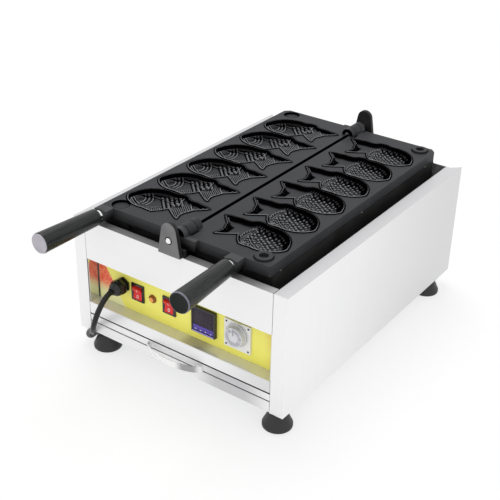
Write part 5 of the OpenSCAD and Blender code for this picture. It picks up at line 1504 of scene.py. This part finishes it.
class WAFFLE_OT_switches(bpy.types.Operator):
    """Adds the I and O marks to the rockers, and the lamp's faceted lens"""

    bl_idname = "waffle.switches"
    bl_label = "Switches and lamp"

    def execute(self, context):
        tilt = Matrix.Rotation(math.radians(9), 4, "X")
        slope = math.atan2(3.3, 11.4)
        for side, x in ROCKER_X.items():
            pivot = at(x, -264, ROW_Z) @ tilt
            bm = bmesh.new()
            low = pivot @ at(0, -7.65, -5.9) @ Matrix.Rotation(-slope, 4, "X") @ NOD
            high = pivot @ at(0, -7.65, 5.9) @ Matrix.Rotation(slope, 4, "X") @ NOD
            oval = ring_shape(bm, 1.75, 2.6, 0.25, at(0, 0, 0), 40)
            bmesh.ops.scale(bm, vec=(0.86, 1.12, 1), verts=[v for v in oval if v.is_valid])
            bmesh.ops.transform(bm, matrix=low, verts=[v for v in oval if v.is_valid])
            bar(bm, (-0.55, -2.8, -0.05), (0.55, 2.8, 0.45), 0.12, 1, high)
            add_piece(f"{side}_rocker_marks", bm, FINISH["white_mark"], f"{side}_rocker")
        bm = bmesh.new()
        place = at(LAMP_X, FILM_Y - 1, ROW_Z) @ NOD
        dome = [(0, 0), (5.8, 0), (5.9, 1.6), (5.3, 3.2), (3.9, 4.5), (2.0, 5.05), (0, 5.2)]
        flute(turned(bm, dome, place, 40), place, 10, 0.05, 1.5, 6.0, 2.0)
        add_piece("lamp_cap", bm, FINISH["amber_lens"], "casing", ("lamp_lens",), 25)
        return {"FINISHED"}


class WAFFLE_OT_small_parts(bpy.types.Operator):
    """Adds the cross recesses of the rear screws"""

    bl_idname = "waffle.small_parts"
    bl_label = "Screw recesses"

    def execute(self, context):
        bm = bmesh.new()
        for x in (-202.5, 202.5):
            for z in (58, 138, 218):
                for turn in (20, 110):
                    place = at(x, 294.42, z) @ Matrix.Rotation(math.radians(turn), 4, "Y")
                    bar(bm, (-2.1, -0.5, -0.45), (2.1, 0.06, 0.45), 0.15, 1, place)
        add_piece("screw_recesses", bm, FINISH["dark_mark"], "casing")
        return {"FINISHED"}


class WAFFLE_OT_carried(bpy.types.Operator):
    """Gives every carried-over node its finish and rounds its edges"""

    bl_idname = "waffle.carried"
    bl_label = "Carried-over nodes"

    def execute(self, context):
        group = smooth_by_angle_group(38)
        for name, obj in frame["nodes"].items():
            for slot in obj.material_slots:
                slot.material = FINISH[NODE_FINISH[name]]
            if name in NODE_EDGES and not obj.hide_render:
                soften(obj, NODE_EDGES[name], group)
        return {"FINISHED"}


# Stage
# The camera's place in casing millimetres, and its turn, height and roll in degrees
CAMERA_AT = Vector((859.3, -1308.5, 1002.7))
CAMERA_TURN, CAMERA_HEIGHT, CAMERA_ROLL = 35.057, 29.294, 1.348
# Way in which the main lamp's light falls
KEY_WAY = Vector((0.34, -0.30, -0.89))


class WAFFLE_OT_stage(bpy.types.Operator):
    """Sets the camera, the lamps and the pale floor"""

    bl_idname = "waffle.stage"
    bl_label = "Stage"

    def execute(self, context):
        stage = settings().waffle_stage
        scene = bpy.context.scene
        scene.view_settings.view_transform = "Standard"
        camera = new_object("camera", bpy.data.cameras.new("camera"))
        camera.data.lens = stage.lens
        camera.data.sensor_width = 36.0
        az, el, roll = (math.radians(v) for v in (CAMERA_TURN, CAMERA_HEIGHT, CAMERA_ROLL))
        back = Vector((math.sin(az) * math.cos(el), -math.cos(az) * math.cos(el), math.sin(el)))
        right = Vector((math.cos(az), math.sin(az), 0))
        up = back.cross(right)
        level = math.cos(roll) * right + math.sin(roll) * up
        top = -math.sin(roll) * right + math.cos(roll) * up
        turn = Matrix((level, top, back)).transposed().to_4x4()
        camera.matrix_world = Matrix.Translation(PLACE @ CAMERA_AT) @ turn
        camera.data.clip_start = 0.05
        camera.data.clip_end = 60
        scene.camera = camera
        sun = new_object("key_lamp", bpy.data.lights.new("key_lamp", "SUN"))
        sun.data.energy = stage.key
        sun.data.angle = math.radians(30)
        sun.rotation_euler = KEY_WAY.to_track_quat("-Z", "Y").to_euler()
        self.sky(stage)
        self.floor()
        return {"FINISHED"}

    def sky(self, stage):
        """Even light from all round, which the camera and mirrors see as plain white."""
        world = bpy.context.scene.world or bpy.data.worlds.new("sky")
        bpy.context.scene.world = world
        world.use_nodes = True
        tree = world.node_tree
        tree.nodes.clear()
        lights = []
        for strength in (stage.sky, 1.0):
            light = tree.nodes.new("ShaderNodeBackground")
            light.inputs["Strength"].default_value = strength
            light.inputs["Color"].default_value = (1, 1, 1, 1)
            lights.append(light.outputs[0])
        path = tree.nodes.new("ShaderNodeLightPath")
        seen = path.outputs["Is Camera Ray"]
        for kind in ("Is Glossy Ray", "Is Transmission Ray"):
            either = tree.nodes.new("ShaderNodeMath")
            either.operation = "MAXIMUM"
            tree.links.new(seen, either.inputs[0])
            tree.links.new(path.outputs[kind], either.inputs[1])
            seen = either.outputs[0]
        mix = tree.nodes.new("ShaderNodeMixShader")
        for result, socket in zip((seen, *lights), mix.inputs):
            tree.links.new(result, socket)
        out = tree.nodes.new("ShaderNodeOutputWorld")
        tree.links.new(mix.outputs[0], out.inputs["Surface"])

    def floor(self):
        """A pale floor that glows a little, so that it stays near white."""
        bm = bmesh.new()
        bmesh.ops.create_grid(bm, x_segments=1, y_segments=1, size=14)
        mesh = bpy.data.meshes.new("floor")
        bm.to_mesh(mesh)
        bm.free()
        obj = new_object("floor", mesh)
        obj.location.z = -0.0004
        pale = plain_finish(
            "floor_white", (0.30, 0.30, 0.30), 1.0,
            Emission_Color=(1, 1, 1, 1), Emission_Strength=0.68, Specular_IOR_Level=0.0,
        )
        mesh.materials.append(pale)


# Panel and start
OPERATORS = (
    WAFFLE_OT_stage, WAFFLE_OT_lead, WAFFLE_OT_fish, WAFFLE_OT_handles, WAFFLE_OT_feet, WAFFLE_OT_gland,
    WAFFLE_OT_controller, WAFFLE_OT_timer, WAFFLE_OT_switches, WAFFLE_OT_small_parts, WAFFLE_OT_carried,
)
GROUPS = (
    ("waffle_casting", CastingSettings), ("waffle_sheet", SheetSettings),
    ("waffle_lead", LeadSettings), ("waffle_stage", StageSettings),
)


class WAFFLE_PT_panel(bpy.types.Panel):
    """Lists the steps that build the waffle maker's looks"""

    bl_idname = "WAFFLE_PT_panel"
    bl_label = "Waffle Maker"
    bl_space_type = "VIEW_3D"
    bl_region_type = "UI"
    bl_category = "Waffle Maker"

    def draw(self, context):
        for name, kind in GROUPS:
            group = getattr(context.scene, name)
            box = self.layout.box()
            for prop in kind.__annotations__:
                box.prop(group, prop)
        for operator in OPERATORS:
            self.layout.operator(operator.bl_idname)


def register():
    for name, kind in GROUPS:
        bpy.utils.register_class(kind)
        setattr(bpy.types.Scene, name, PointerProperty(type=kind))
    for operator in OPERATORS:
        bpy.utils.register_class(operator)
    bpy.utils.register_class(WAFFLE_PT_panel)


def unregister():
    bpy.utils.unregister_class(WAFFLE_PT_panel)
    for operator in reversed(OPERATORS):
        bpy.utils.unregister_class(operator)
    for name, kind in reversed(GROUPS):
        delattr(bpy.types.Scene, name)
        bpy.utils.unregister_class(kind)


def clear_start():
    """Removes what a fresh Blender file holds besides the frame."""
    kept = set(frame["nodes"].values()) | set(frame["bodies"].values())
    for obj in list(bpy.context.scene.objects):
        if obj not in kept:
            bpy.data.objects.remove(obj)


def main():
    clear_start()
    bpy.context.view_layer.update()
    register()
    make_finishes()
    for operator in OPERATORS:
        group, name = operator.bl_idname.split(".")
        getattr(getattr(bpy.ops, group), name)()


if __name__ == "__main__":
    main()
